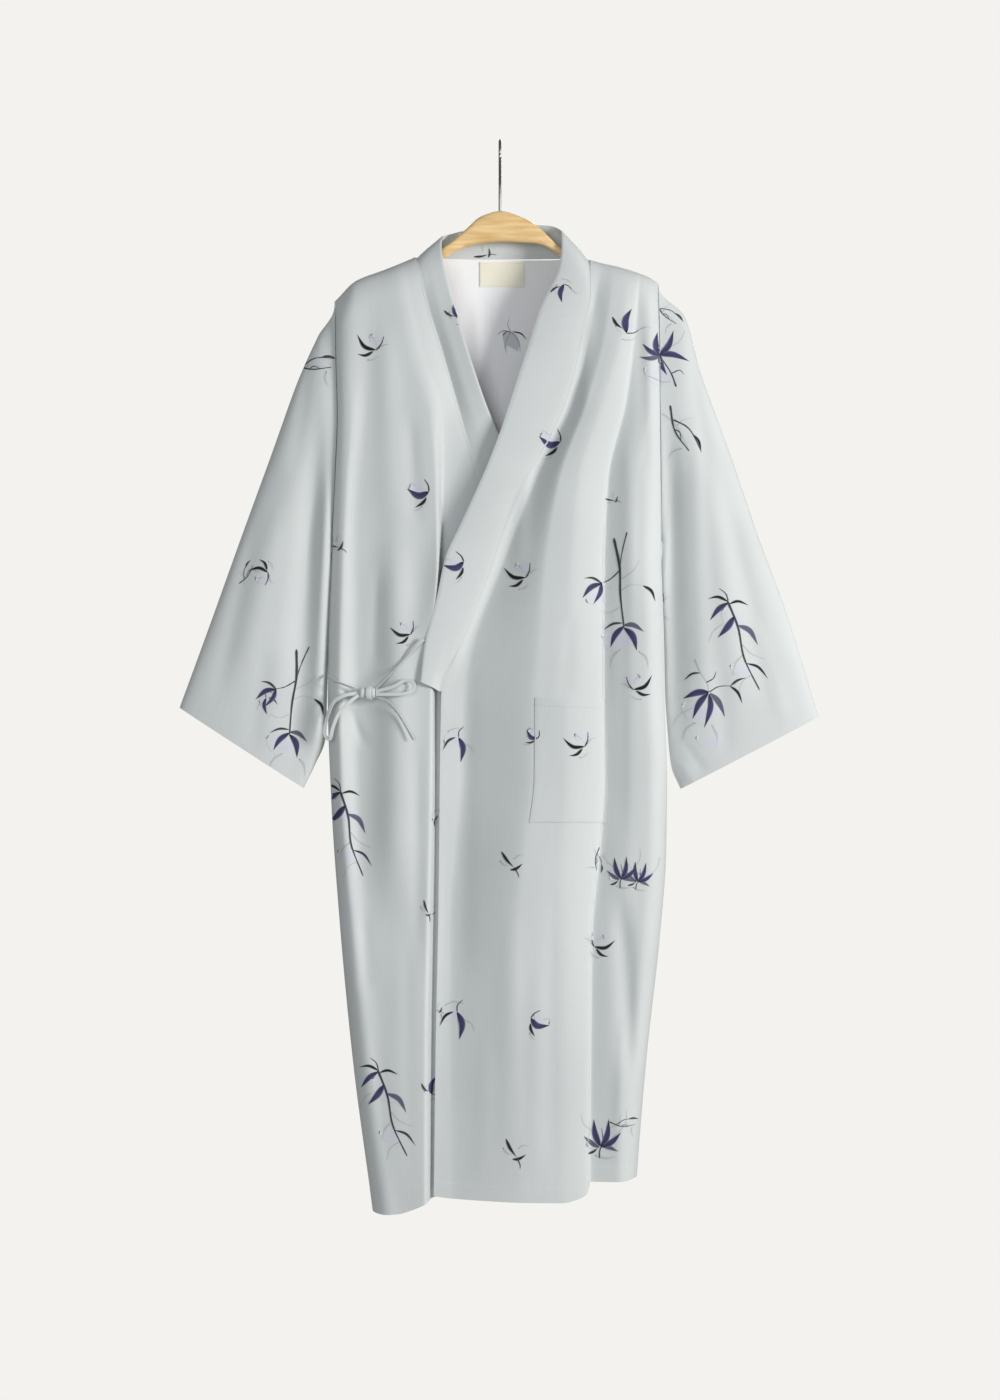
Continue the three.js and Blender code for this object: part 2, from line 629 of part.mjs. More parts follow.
const hook = new THREE.ExtrudeGeometry(wire, { steps: 44, extrudePath: hookPath, curveSegments: 5 });

// ------------------------------------------------------------------ the robe
const silk = { color: 0xd0d5d4, roughness: 0.55, metalness: 0 };
const robe = new THREE.Group();
robe.name = 'silk_robe';
const add = (name, geometry, look) => {
  const mesh = new THREE.Mesh(geometry, new THREE.MeshStandardMaterial(look));
  mesh.name = name;
  robe.add(mesh);
};
add('front_right', wall(rightFront.grid, CLOTH, false, -1), silk);
add('front_left', wall(leftFront.grid, CLOTH, false, -1), silk);
add('back', wall(backGrid, CLOTH, false, 1), silk);
add('collar_band', wall(bandRows, BAND), silk);
add('sleeve_right', wall(rightSleeve, CLOTH, true), silk);
add('sleeve_left', wall(leftSleeve, CLOTH, true), silk);
add('pocket', wall(pocketGrid, CLOTH), silk);
add('label', wall(labelGrid, LABEL[2]), { color: 0xf1efdd, roughness: 0.8, metalness: 0 });
add('tie_side', ribbon(sidePath), silk);
add('tie_front', ribbon(frontPath), silk);
add('tie_loop_side', ribbon(loopSide, 4.5, TIE[1], 26), silk);
add('tie_loop_front', ribbon(loopFront, 4.5, TIE[1], 22), silk);
add('tie_tail', ribbon(tailPath, 4.5), silk);
const knotRings = [0.86, 0.97, 1, 0.96, 0.9, 0.88, 0.91, 0.97, 1, 0.97, 0.86].map((w, k) => {
  const t = k / 10;
  return Array.from({ length: 10 }, (_, i) => {
    const a = 2 * PI * i / 10;
    return new THREE.Vector3(KNOT.x + KNOT.half[0] * (2 * t - 1), -KNOT.f + KNOT.half[1] * w * cos(a), KNOT.z + KNOT.half[2] * w * sin(a));
  });
});
add('tie_knot', loft(knotRings), silk);
add('hanger_bar', bar, { color: 0xe3c088, roughness: 0.5, metalness: 0 });
add('hanger_hook', hook, { color: 0x8c8c8c, roughness: 0.3, metalness: 1 });

export default robe;
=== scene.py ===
import bpy, math
import numpy as np
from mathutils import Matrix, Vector
from mathutils.bvhtree import BVHTree


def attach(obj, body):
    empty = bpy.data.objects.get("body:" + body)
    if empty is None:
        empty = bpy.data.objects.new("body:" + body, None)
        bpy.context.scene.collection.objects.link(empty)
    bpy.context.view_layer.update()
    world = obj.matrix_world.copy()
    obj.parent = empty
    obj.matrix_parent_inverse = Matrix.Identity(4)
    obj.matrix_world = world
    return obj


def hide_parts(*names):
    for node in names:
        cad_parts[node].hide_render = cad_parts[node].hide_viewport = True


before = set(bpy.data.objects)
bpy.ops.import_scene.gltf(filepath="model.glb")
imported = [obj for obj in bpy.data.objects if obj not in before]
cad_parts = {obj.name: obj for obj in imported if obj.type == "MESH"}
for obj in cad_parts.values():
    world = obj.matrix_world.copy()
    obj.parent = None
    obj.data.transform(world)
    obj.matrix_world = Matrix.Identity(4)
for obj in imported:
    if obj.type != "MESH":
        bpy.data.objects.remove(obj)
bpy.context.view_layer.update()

# ---------------------------------------------------------------------------
# The picture: the robe hangs in front of a plain off-white studio, seen level
# and square on from four metres, lit softly from the right and the front.
# ---------------------------------------------------------------------------
scene = bpy.context.scene
scene.view_settings.view_transform = "Standard"
camera = bpy.data.objects.new("camera", bpy.data.cameras.new("camera"))
scene.collection.objects.link(camera)
camera.data.lens, camera.data.sensor_width, camera.data.sensor_fit = 85, 36, "AUTO"
camera.location = (0, -3.967, -0.6697)
camera.rotation_euler = (math.radians(90), 0, 0)
camera.data.clip_end = 60
scene.camera = camera

world = bpy.data.worlds.new("studio")
scene.world = world
world.use_nodes = True
wn, wl = world.node_tree.nodes, world.node_tree.links
wn.clear()
seen, lit = wn.new("ShaderNodeBackground"), wn.new("ShaderNodeBackground")
seen.inputs["Color"].default_value = (0.898, 0.889, 0.858, 1)
lit.inputs["Color"].default_value = (0.96, 0.98, 1.0, 1)
lit.inputs["Strength"].default_value = 0.24
ray, pick = wn.new("ShaderNodeLightPath"), wn.new("ShaderNodeMixShader")
out = wn.new("ShaderNodeOutputWorld")
wl.new(ray.outputs["Is Camera Ray"], pick.inputs["Fac"])
wl.new(lit.outputs[0], pick.inputs[1])
wl.new(seen.outputs[0], pick.inputs[2])
wl.new(pick.outputs[0], out.inputs["Surface"])

for name, spot, size, watts, colour in (
        ("key", (2.5, -1.75, -0.2), 0.9, 85, (1.0, 0.985, 0.96)),
        ("fill", (-1.0, -3.4, -0.2), 1.8, 35, (0.95, 0.98, 1.0)),
        ("rim", (0.2, 2.4, 0.2), 1.6, 60, (1.0, 1.0, 1.0))):
    lamp = bpy.data.objects.new(name, bpy.data.lights.new(name, "AREA"))
    lamp.data.energy, lamp.data.size, lamp.data.color = watts, size, colour
    lamp.location = spot
    aim = Vector((0, 0, -0.68)) - Vector(spot)
    lamp.rotation_euler = aim.to_track_quat("-Z", "Y").to_euler()
    scene.collection.objects.link(lamp)


def make_mesh(name, points, faces, uv=None, material=None, smooth=True, sharp=50):
    """A mesh object at the origin from points in millimetres."""
    mesh = bpy.data.meshes.new(name)
    mesh.from_pydata((np.asarray(points, float) / 1000.0).tolist(), [], [list(map(int, f)) for f in faces])
    mesh.validate(clean_customdata=False)
    if uv is not None:
        layer = mesh.uv_layers.new(name="cloth")
        loops = np.empty(len(mesh.loops), np.int32)
        mesh.loops.foreach_get("vertex_index", loops)
        layer.data.foreach_set("uv", (np.asarray(uv, float) / 1000.0)[loops].astype(np.float32).ravel())
    if smooth:
        mesh.polygons.foreach_set("use_smooth", [True] * len(mesh.polygons))
        if sharp:
            mesh.set_sharp_from_angle(angle=math.radians(sharp))
    mesh.update()
    piece = bpy.data.objects.new(name, mesh)
    scene.collection.objects.link(piece)
    if material:
        mesh.materials.append(material)
    return piece


def painted(name):
    """An empty node material and its shader."""
    m = bpy.data.materials.new(name)
    m.use_nodes = True
    return m, m.node_tree.nodes, m.node_tree.links, m.node_tree.nodes["Principled BSDF"]


def nodes(n, *kinds):
    """New shader nodes, one of each kind."""
    return [n.new("ShaderNode" + kind) for kind in kinds]


def put(node, **values):
    """Sets inputs by name, an underscore for each space."""
    for name, value in values.items():
        node.inputs[name.replace("_", " ")].default_value = value


def ramp(node, low, low_colour, high, high_colour):
    first, last = node.color_ramp.elements
    first.position, last.position = low, high
    first.color, last.color = low_colour, high_colour


def join(l, *links):
    """Links, each as node, output, node, input."""
    for a, given, b, taken in links:
        l.new(a.outputs[given], b.inputs[taken])


paper, n, l, shade = painted("studio_floor")
put(shade, Base_Color=(0.82, 0.81, 0.78, 1), Roughness=0.9)
disc = [(420 * math.cos(a * math.pi / 48), 420 * math.sin(a * math.pi / 48), -1620) for a in range(96)]
floor = make_mesh("studio_floor", disc, [range(96)], material=paper, smooth=False)

# ---------------------------------------------------------------------------
# The hanger bar: one piece of pale beech, sawn to a bow, rounded over on every
# edge and lacquered. It is hidden in the shoulders but for the bow at the neck.
# ---------------------------------------------------------------------------


def through(rows, a, b):
    """A smooth curve without overshoot through a table: column b against column a."""
    p = sorted((float(r[a]), float(r[b])) for r in rows)
    x, y = np.array([q[0] for q in p]), np.array([q[1] for q in p])
    h = np.diff(x)
    d = np.diff(y) / h
    m = np.empty(len(x))
    m[0], m[-1] = d[0], d[-1]
    both = d[:-1] * d[1:]
    total = d[:-1] + d[1:]
    m[1:-1] = np.where(both > 0, 2 * both / np.where(total == 0, 1, total), 0)

    def curve(t):
        t = np.asarray(t, float)
        i = np.clip(np.searchsorted(x, t, side="left") - 1, 0, len(d) - 1)
        s = (t - x[i]) / h[i]
        q = np.clip(s, 0, 1)
        inside = ((2 * q ** 3 - 3 * q ** 2 + 1) * y[i] + (q ** 3 - 2 * q ** 2 + q) * h[i] * m[i]
                  + (3 * q ** 2 - 2 * q ** 3) * y[i + 1] + (q ** 3 - q ** 2) * h[i] * m[i + 1])
        return inside + np.where(s < 0, (t - x[i]) * m[i], 0) + np.where(s > 1, (t - x[i + 1]) * m[i + 1], 0)
    return curve


BAR = [  # x, top z, bottom z, thickness
    [-191, -188, -199, 9],
    [-174, -176, -192, 11],
    [-138, -161, -178, 12],
    [-102, -146, -161, 12],
    [-68, -127, -140, 12],
    [-40, -104, -126, 12],
    [-24, -90, -122, 12],
    [1, -83, -120, 12],
    [25, -90, -121, 12],
    [42, -99, -122, 12],
    [73, -127, -137, 12],
    [108, -148, -162, 12],
    [144, -158, -175, 12],
    [174, -170, -186, 11],
    [185, -179, -190, 9],
]
bar_top, bar_bottom, bar_thick = (through(BAR, 0, c) for c in (1, 2, 3))
wood, n, l, shade = painted("beech_lacquered")
at, lay, grain, pores, tone, dots, bump, gloss = nodes(
    n, "TexCoord", "Mapping", "TexNoise", "TexNoise", "ValToRGB", "Math", "Bump", "MapRange")
put(lay, Scale=(7, 60, 60))
put(grain, Scale=3.2, Detail=4)
put(pores, Scale=26, Detail=2)
ramp(tone, 0.32, (0.69, 0.43, 0.165, 1), 0.72, (0.93, 0.69, 0.345, 1))
dots.operation = "ADD"
put(bump, Strength=0.25, Distance=0.0006)
put(gloss, To_Min=0.34, To_Max=0.52)
put(shade, Coat_Weight=0.25, Coat_Roughness=0.25)
join(l, (at, "Object", lay, "Vector"), (lay, 0, grain, "Vector"), (lay, 0, pores, "Vector"),
     (grain, "Fac", tone, "Fac"), (tone, "Color", shade, "Base Color"), (grain, "Fac", dots, 0),
     (pores, "Fac", dots, 1), (dots, 0, bump, "Height"), (bump, 0, shade, "Normal"),
     (pores, "Fac", gloss, "Value"), (gloss, 0, shade, "Roughness"))


def loft(name, rings, material, sharp=60):
    """A closed solid through equal rings, each end shut by its own ring."""
    k, m = len(rings), len(rings[0])
    points = [p for ring in rings for p in ring]
    faces = [(a * m + i, a * m + (i + 1) % m, (a + 1) * m + (i + 1) % m, (a + 1) * m + i)
             for a in range(k - 1) for i in range(m)]
    faces += [tuple(range(m))[::-1], tuple(range((k - 1) * m, k * m))]
    p = np.array(points, float)
    volume = sum(float(np.dot(p[f[0]], np.cross(p[f[j]], p[f[j + 1]]))) for f in faces for j in range(1, len(f) - 1))
    if volume < 0:
        faces = [tuple(f)[::-1] for f in faces]
    return make_mesh(name, points, faces, material=material, sharp=sharp)


def softly(c, power):
    return np.sign(c) * np.abs(c) ** power


rings = []
for k in range(97):
    t = k / 96
    x = BAR[0][0] + (BAR[-1][0] - BAR[0][0]) * t
    end = min(1.0, math.sqrt(max(0.0, 1 - (1 - min(t, 1 - t) * 40) ** 2)) if min(t, 1 - t) < 1 / 40 else 1.0)
    c, h = (bar_top(x) + bar_bottom(x)) / 2, (bar_top(x) - bar_bottom(x)) / 2
    a = np.linspace(0, 2 * np.pi, 37)[:-1]
    rings.append([(x, y, z) for y, z in zip(
        bar_thick(x) / 2 * max(0.35, end) * softly(np.cos(a), 0.62), c + h * max(0.35, end) * softly(np.sin(a), 0.62))])
bar = loft("hanger_bow", rings, wood)
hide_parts("hanger_bar")
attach(bar, "root")

# ---------------------------------------------------------------------------
# The hook: one length of drawn steel wire, screwed into the top of the bow and
# bent to a question mark that stands square to the bar, so it shows edge on.
# ---------------------------------------------------------------------------
WIRE, HOOK_R = 3.5, 17.0
steel, n, l, shade = painted("drawn_wire")
at, lay, drawn, gloss = nodes(n, "TexCoord", "Mapping", "TexNoise", "MapRange")
put(shade, Metallic=1.0, Base_Color=(0.30, 0.30, 0.31, 1))
put(lay, Scale=(900, 900, 30))
put(gloss, To_Min=0.22, To_Max=0.45)
join(l, (at, "Object", lay, "Vector"), (lay, 0, drawn, "Vector"), (drawn, "Fac", gloss, "Value"),
     (gloss, 0, shade, "Roughness"))


def smooth_path(points, count):
    """Catmull-Rom through points, evenly spaced along its length."""
    p = np.array(points, float)
    p = np.vstack([2 * p[0] - p[1], p, 2 * p[-1] - p[-2]])
    fine = []
    for i in range(1, len(p) - 2):
        for s in np.linspace(0, 1, 24, endpoint=False):
            fine.append(0.5 * (2 * p[i] + (p[i + 1] - p[i - 1]) * s
                               + (2 * p[i - 1] - 5 * p[i] + 4 * p[i + 1] - p[i + 2]) * s ** 2
                               + (3 * p[i] - p[i - 1] - 3 * p[i + 1] + p[i + 2]) * s ** 3))
    fine = np.array(fine + [p[-2]])
    run = np.concatenate([[0], np.cumsum(np.linalg.norm(np.diff(fine, axis=0), axis=1))])
    want = np.linspace(0, run[-1], count)
    return np.stack([np.interp(want, run, fine[:, c]) for c in range(3)], axis=1)


bend = [(0, HOOK_R * math.cos(math.radians(a - 10)), WIRE / 2 - HOOK_R + HOOK_R * math.sin(math.radians(a - 10)))
        for a in range(0, 201, 25)]
top = float(bar_top(0))
path = smooth_path([(0, 0, top - 23), (0, 0, top - 8), (0, 0, -60), (0, 2.5, -46), (0, 11, -32)] + bend, 130)
rings = []
for k, p in enumerate(path):
    t = path[min(k + 1, len(path) - 1)] - path[max(k - 1, 0)]
    t = t / np.linalg.norm(t)
    up = np.cross(t, (1, 0, 0))
    r = WIRE / 2 * (1.0 if k < len(path) - 3 else (0.97, 0.82, 0.45)[k - len(path) + 3])
    rings.append([p + r * (math.cos(a) * np.array((1, 0, 0)) + math.sin(a) * up)
                  for a in np.linspace(0, 2 * np.pi, 17)[:-1]])
hook = loft("hook_wire", rings, steel)
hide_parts("hanger_hook")
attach(hook, "root")

# ---------------------------------------------------------------------------
# The back: one width of pale silver-green silk, cut straight, rolled over the
# hanger at the shoulders, hemmed by hand. Its inside shows in the open neck.
# ---------------------------------------------------------------------------
SILK = 1.1            # thickness of a panel, mm
SEAM = 0.1            # between back and fronts at the side and shoulder seams
ROLL = 38.0           # how far down the cloth has turned over the hanger
SIDE_ROLL = 24.0      # and how far in from a side seam
ARMHOLE = 9.0         # half its depth
BACK_LONG, FRONT_LONG = 1128, 1120
HEM = 19.5            # depth of the turned hem
HEM_THICK = 0.22      # how much its second layer adds to the printed side
THREADS = 520.0       # scale of the weave
SHEEN, GLOSS = 0.22, 0.30


def silk_material(name, pale, deep, sheen=SHEEN):
    """Printed silk: fine plain weave, slubs along the cloth, a soft sheen."""
    m, n, l, shade = painted(name)
    uv, obj, warp, weft, slub_map, slub, cloud, tone, shot, cross, add, bump, gloss = nodes(
        n, "UVMap", "TexCoord", "TexWave", "TexWave", "Mapping", "TexNoise", "TexNoise", "ValToRGB", "Mix", "Math",
        "Math", "Bump", "MapRange")
    uv.uv_map = "cloth"
    for w, way in ((warp, "X"), (weft, "Y")):
        w.wave_type, w.bands_direction = "BANDS", way
        put(w, Scale=THREADS, Distortion=0.6)
    put(slub_map, Scale=(900, 22, 1))
    put(slub, Scale=1.0, Detail=3)
    put(cloud, Scale=5.5, Detail=2)
    ramp(tone, 0.30, deep + (1,), 0.72, pale + (1,))
    shot.data_type, shot.blend_type = "RGBA", "MULTIPLY"
    shot.inputs[0].default_value = 0.10
    cross.operation, add.operation = "ADD", "ADD"
    put(bump, Strength=0.22, Distance=0.00012)
    put(gloss, To_Min=0.58, To_Max=0.72)
    join(l, (uv, 0, warp, "Vector"), (uv, 0, weft, "Vector"), (uv, 0, slub_map, "Vector"),
         (slub_map, 0, slub, "Vector"), (obj, "Object", cloud, "Vector"), (cloud, "Fac", tone, "Fac"),
         (tone, "Color", shot, 6), (slub, "Fac", shot, 7), (shot, 2, shade, "Base Color"),
         (warp, "Fac", cross, 0), (weft, "Fac", cross, 1), (cross, 0, add, 0),
         (slub, "Fac", add, 1), (add, 0, bump, "Height"), (bump, 0, shade, "Normal"), (slub, "Fac", gloss, "Value"),
         (gloss, 0, shade, "Roughness"))
    put(shade, Specular_IOR_Level=GLOSS, Sheen_Weight=sheen, Sheen_Roughness=0.35)
    return m


silk = silk_material("silk_printed", (0.645, 0.674, 0.676), (0.598, 0.628, 0.629))
# The reverse of the silk is paler than its face. Its colour here is lightened further, nearly to white, as painted
# light where the inside of the open neck lies in shade.
silk_inside_painted_light = silk_material("silk_reverse", (0.965, 0.968, 0.985), (0.94, 0.943, 0.97), sheen=0.45)

SHOULDER = [  # x, z of the top line over the hanger
    [-204, -194],
    [-196, -190],
    [-174, -168],
    [-138, -154],
    [-102, -139],
    [-68, -121],
    [-36, -103],
    [0, -96],
    [36, -101],
    [74, -121],
    [108, -142],
    [144, -151],
    [174, -161],
    [188, -169],
    [197, -178],
]
BACK_DEPTH = [  # z, how far the back stands behind the side seams
    [-106, 24],
    [-310, 21],
    [-502, 20],
    [-670, 21],
    [-910, 24],
    [-1102, 27],
    [-1282, 30],
]
FOLDS_BACK = [  # x, z of the top, x, z of the foot, width, height
    [-154, -334, -144, -1174, 22, 6],
    [-110, -598, -118, -1270, 16, -5],
    [-64, -226, -58, -910, 24, 5],
    [-2, -502, -7, -1270, 20, -7],
    [48, -190, 58, -790, 26, 6],
    [108, -454, 96, -1258, 20, -6],
    [154, -286, 144, -1030, 18, 5],
    [-176, -230, -168, -760, 9, -2.2], [-60, -700, -66, -1240, 12, 2.4], [58, -180, 44, -520, 10, -2.0],
    [120, -900, 128, -1262, 10, -2.4], [-104, -160, -120, -420, 11, 2.2], [170, -260, 160, -900, 9, 2.0],
    [8, -980, 2, -1268, 13, -2.6], [-30, -170, -18, -360, 9, -1.6],
]
RIGHT_FRONT = [  # z; x of the side; x and depth of ridge, valley, crest, turn, hidden edge
    [-139, -197, -180, 19, -162, 21, -130, 21, -115, 20, -102, 20],
    [-250, -196, -182, 20, -158, 18, -108, 23, -90, 20, -72, 15],
    [-328, -194, -180, 21, -160, 15, -85, 23, -67, 14, -49, 8],
    [-406, -197, -184, 21, -166, 14, -78, 21, -67, 6, -28, 5],
    [-502, -202, -189, 20, -169, 12, -76, 19, -67, 1, 10, 10],
    [-598, -205, -192, 20, -170, 10, -82, 18, -73, 2, 48, 8],
    [-670, -206, -193, 21, -170, 8, -84, 20, -74, 7, 72, 8],
    [-790, -202, -190, 22, -168, 10, -85, 23, -75, 9, 79, 9],
    [-934, -192, -178, 25, -156, 20, -88, 27, -77, 10, 79, 9],
    [-1102, -176, -160, 25, -140, 24, -91, 28, -79, 12, 79, 10],
    [-1282, -152, -138, 25, -122, 25, -91, 28, -79, 13, 79, 11],
]
LEFT_FRONT = [  # z; x and depth of edge, hollow, flat, ridge, fold, recess, far ridge; x of the side
    [-139, 108, 20, 122, 20, 140, 22, 154, 23, 166, 22, 170, 21, 180, 20, 188],
    [-226, 98, 21, 108, 19, 128, 26, 144, 27, 156, 24, 163, 20, 180, 23, 190],
    [-310, 79, 19, 88, 16, 106, 28, 122, 30, 146, 23, 152, 18, 180, 25, 191],
    [-406, 31, 17, 42, 14, 72, 32, 92, 33, 125, 21, 130, 17, 164, 27, 192],
    [-514, -12, 18, 0, 14, 54, 36, 82, 37, 121, 24, 125, 15, 160, 28, 193],
    [-610, -50, 19, -34, 14, 47, 38, 78, 39, 121, 25, 125, 14, 158, 28, 196],
    [-670, -70, 17, -44, 14, 42, 38, 76, 39, 121, 25, 125, 14, 158, 28, 197],
    [-763, -71, 15, -46, 13, 41, 39, 76, 39, 122, 24, 126, 15, 158, 28, 200],
    [-850, -72, 15, -54, 13, 30, 39, 70, 38, 116, 24, 120, 16, 156, 28, 199],
    [-946, -74, 16, -60, 14, 22, 38, 66, 37, 107, 24, 111, 19, 152, 28, 192],
    [-1102, -77, 18, -60, 17, 24, 35, 66, 36, 105, 27, 109, 22, 144, 29, 175],
    [-1270, -79, 20, -58, 20, 30, 35, 72, 37, 103, 32, 108, 26, 142, 30, 161],
]
NECK = (-102.0, 108.0, -139.0)
shoulder_z, back_depth = through(SHOULDER, 0, 1), through(BACK_DEPTH, 0, 1)
side_right, side_left = through(RIGHT_FRONT, 0, 1), through(LEFT_FRONT, 0, 15)


def mix(a, b, t):
    return a + (b - a) * t


def ease(t):
    t = np.clip(t, 0, 1)
    return t * t * (3 - 2 * t)


def rolled(d, over):
    """A quarter round: 0 at a seam, 1 once the cloth has turned."""
    return np.sqrt(np.maximum(0, 1 - (1 - np.clip(d / over, 0, 1)) ** 2))


def folds(rows, x, z):
    """Long folds, each fading in and out along its own length."""
    total = 0.0
    for x0, z0, x1, z1, width, height in rows:
        t = np.clip((z0 - z) / (z0 - z1), 0, 1)
        s = (x - mix(x0, x1, t)) / (width * (0.8 + 0.4 * t))
        total = total + height * ease(t / 0.3) * ease((1 - t) / 0.25) * np.exp(-s * s)
    return total


def armhole(top, bottom):
    """Half depth of the armhole at a height."""
    def arm(z):
        t = np.clip((z - bottom) / (top - bottom), 0, 1)
        return ARMHOLE * np.sqrt(np.maximum(0, 1 - (2 * t - 1) ** 2)) ** 0.8
    return arm


arm_right, arm_left = armhole(-191, -478), armhole(-171, -478)


def rows_down(length, fine=4.7, hem=19.0, lines=()):
    """Places down a panel, 0 to 1: close over the roll, then even, one pair at the hem line."""
    near = ROLL * (1 - np.cos(np.linspace(0, np.pi / 2, 13)))
    rest = np.arange(ROLL + fine, length - 1, fine)
    extra = [length - hem - 1.2, length - hem + 0.3, length] + [q for q in lines]
    return np.unique(np.round(np.concatenate([near, rest, extra]), 3)) / length


def normals(grid, around=False):
    if around:
        du = np.roll(grid, -1, 0) - np.roll(grid, 1, 0)
    else:
        du = np.gradient(grid, axis=0)
    n = np.cross(du, np.gradient(grid, axis=1))
    return n / np.maximum(np.linalg.norm(n, axis=2, keepdims=True), 1e-9)


skins = {}            # the printed side of each piece: its grid of points and their normals


def cloth(name, grid, thick=SILK, around=False, half=0, shown=(0, -1, 0), both=False, hem=None):
    """One closed wall of cloth about a grid of points, printed side out.

    hem, a 0-to-1 grid, thickens the printed side where the cloth is folded double.
    """
    nu, nv = grid.shape[:2]
    n = normals(grid, around)
    if half:
        flat = np.abs(grid[:, :, 1]) < SEAM
        n[:, :, 1] = np.where(flat, 0, n[:, :, 1])
        n /= np.maximum(np.linalg.norm(n, axis=2, keepdims=True), 1e-9)
    if around:
        middle = grid.mean(axis=0, keepdims=True)
        if np.sum(n * (grid - middle)) < 0:
            n = -n
    elif np.sum(n * np.array(shown)) < 0:
        n = -n
    more = 0 if hem is None else hem[:, :, None] * HEM_THICK
    front, rear = grid + n * (thick / 2 + more), grid - n * (thick / 2)
    if half:
        for side in (front, rear):
            side[:, :, 1] = half * np.maximum(half * side[:, :, 1], SEAM / 2)
    skins[name] = (front, n)
    points = np.concatenate([front.reshape(-1, 3), rear.reshape(-1, 3)])
    step = [np.linalg.norm(np.diff(grid, axis=k), axis=2) for k in (0, 1)]
    u = np.concatenate([np.zeros((1, nv)), np.cumsum(step[0], axis=0)])
    v = np.concatenate([np.zeros((nu, 1)), np.cumsum(step[1], axis=1)], axis=1)
    uv = np.stack([u, v], axis=2).reshape(-1, 2)
    uv = np.concatenate([uv, uv])
    i, j = np.meshgrid(np.arange(nu if around else nu - 1), np.arange(nv - 1), indexing="ij")
    a, b = (i * nv + j).ravel(), (((i + 1) % nu) * nv + j).ravel()
    outer = np.stack([a, b, b + 1, a + 1], axis=1)
    inner = outer[:, ::-1] + nu * nv
    ci = np.arange(nu if around else nu - 1)
    top_a, top_b = ci * nv, ((ci + 1) % nu) * nv
    off = nu * nv
    rims = [np.stack([top_a, top_a + off, top_b + off, top_b], axis=1),
            np.stack([top_a + nv - 1, top_b + nv - 1, top_b + nv - 1 + off, top_a + nv - 1 + off], axis=1)]
    if not around:
        cj = np.arange(nv - 1)
        last = (nu - 1) * nv
        rims += [np.stack([cj, cj + 1, cj + 1 + off, cj + off], axis=1),
                 np.stack([last + cj, last + cj + off, last + cj + 1 + off, last + cj + 1], axis=1)]
    faces = np.concatenate([outer, inner] + rims)
    p = points[faces]
    volume = np.sum(np.einsum("ij,ij->i", p[:, 0], np.cross(p[:, 1], p[:, 2]))
                    + np.einsum("ij,ij->i", p[:, 0], np.cross(p[:, 2], p[:, 3])))
    if volume < 0:
        faces = faces[:, ::-1]
    piece = make_mesh(name, points, faces, uv=uv, material=silk)
    if not both:
        # the inner side takes the reverse material, its colour lightened as painted light
        piece.data.materials.append(silk_inside_painted_light)
        slots = np.zeros(len(faces), np.int32)
        slots[len(outer):len(outer) + len(inner)] = 1
        piece.data.polygons.foreach_set("material_index", slots)
    return piece


def neck_u(x):
    return (x - side_right(-190)) / (side_left(-170) - side_right(-190))


BACK_HEM = (-1274.0, -1238.0)
edge = 0.06 * (np.linspace(0, 1, 9) ** 2)
neck_from, neck_to = float(neck_u(NECK[0])), float(neck_u(NECK[1]))
u_back = np.unique(np.round(np.concatenate([
    edge, np.linspace(0.06, neck_from, 13), np.linspace(neck_from, neck_to, 53), np.linspace(neck_to, 0.94, 11),
    1 - edge]), 6))
v_back = rows_down(BACK_LONG)
U, V = np.meshgrid(u_back, v_back, indexing="ij")
top_x = mix(side_right(-190), side_left(-170), U)
Z = mix(np.minimum(shoulder_z(top_x), NECK[2]), mix(BACK_HEM[0], BACK_HEM[1], U), V)
X = mix(side_right(Z), side_left(Z), U)
to_side = np.minimum(X - side_right(Z), side_left(Z) - X)
depth = mix(np.where(X < 0, arm_right(Z), arm_left(Z)), back_depth(Z), rolled(to_side, SIDE_ROLL))
depth = depth + folds(FOLDS_BACK, X, Z) * ease(to_side / 40)
depth = depth * rolled(shoulder_z(X) - Z, ROLL)
back_grid = np.stack([X, depth + SEAM / 2 + 0.01, Z], axis=2)
hem_zone = np.clip((V - (1 - HEM / BACK_LONG)) * BACK_LONG / 1.2, 0, 1)
back = cloth("silk_back", back_grid, half=1, shown=(0, 1, 0), hem=hem_zone)
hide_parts("back")
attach(back, "root")

# ---------------------------------------------------------------------------
# The two fronts: the right one goes under and rolls back on itself along a
# sharp crest; the left one laps over it, with one deep fold below the pocket.
# ---------------------------------------------------------------------------
SEAM_UNDER = [  # z, x of the collar seam and, below it, the hidden edge
    [-139, -102],
    [-199, -88],
    [-250, -72],
    [-298, -58],
    [-359, -41],
    [-418, -23],
    [-478, 1],
    [-514, 14],
    [-564, 34],
    [-616, 55],
    [-656, 72],
    [-790, 79],
    [-1282, 79],
]
SEAM_OVER = [
    [-142, 108],
    [-184, 108],
    [-220, 100],
    [-268, 91],
    [-310, 79],
    [-355, 59],
    [-418, 24],
    [-478, 0],
    [-514, -12],
    [-564, -31],
    [-616, -53],
    [-656, -70],
    [-934, -74],
    [-1090, -77],
    [-1270, -79],
]
CREASES_RIGHT = [  # x, z of the top, x, z of the foot, width, height
    [-124, -400, -125, -960, 21, 9], [16, -286, -106, -672, 26, 9],
    [-118, -930, -116, -1290, 22, 1.5], [-178, -230, -184, -560, 7, -1.6],
    [-138, -200, -128, -480, 16, 3], [-164, -915, -160, -1030, 9, -1.6], [-193, -655, -176, -900, 5, 1.6],
    [-186, -668, -160, -730, 6, -2.2], [-100, -690, -98, -1000, 8, -1.6], [-112, -900, -108, -1275, 9, -0.8],
    [-148, -1040, -140, -1280, 10, -0.8], [-108, -320, -100, -470, 8, -1.8], [-146, -500, -150, -640, 6, -1.4],
]
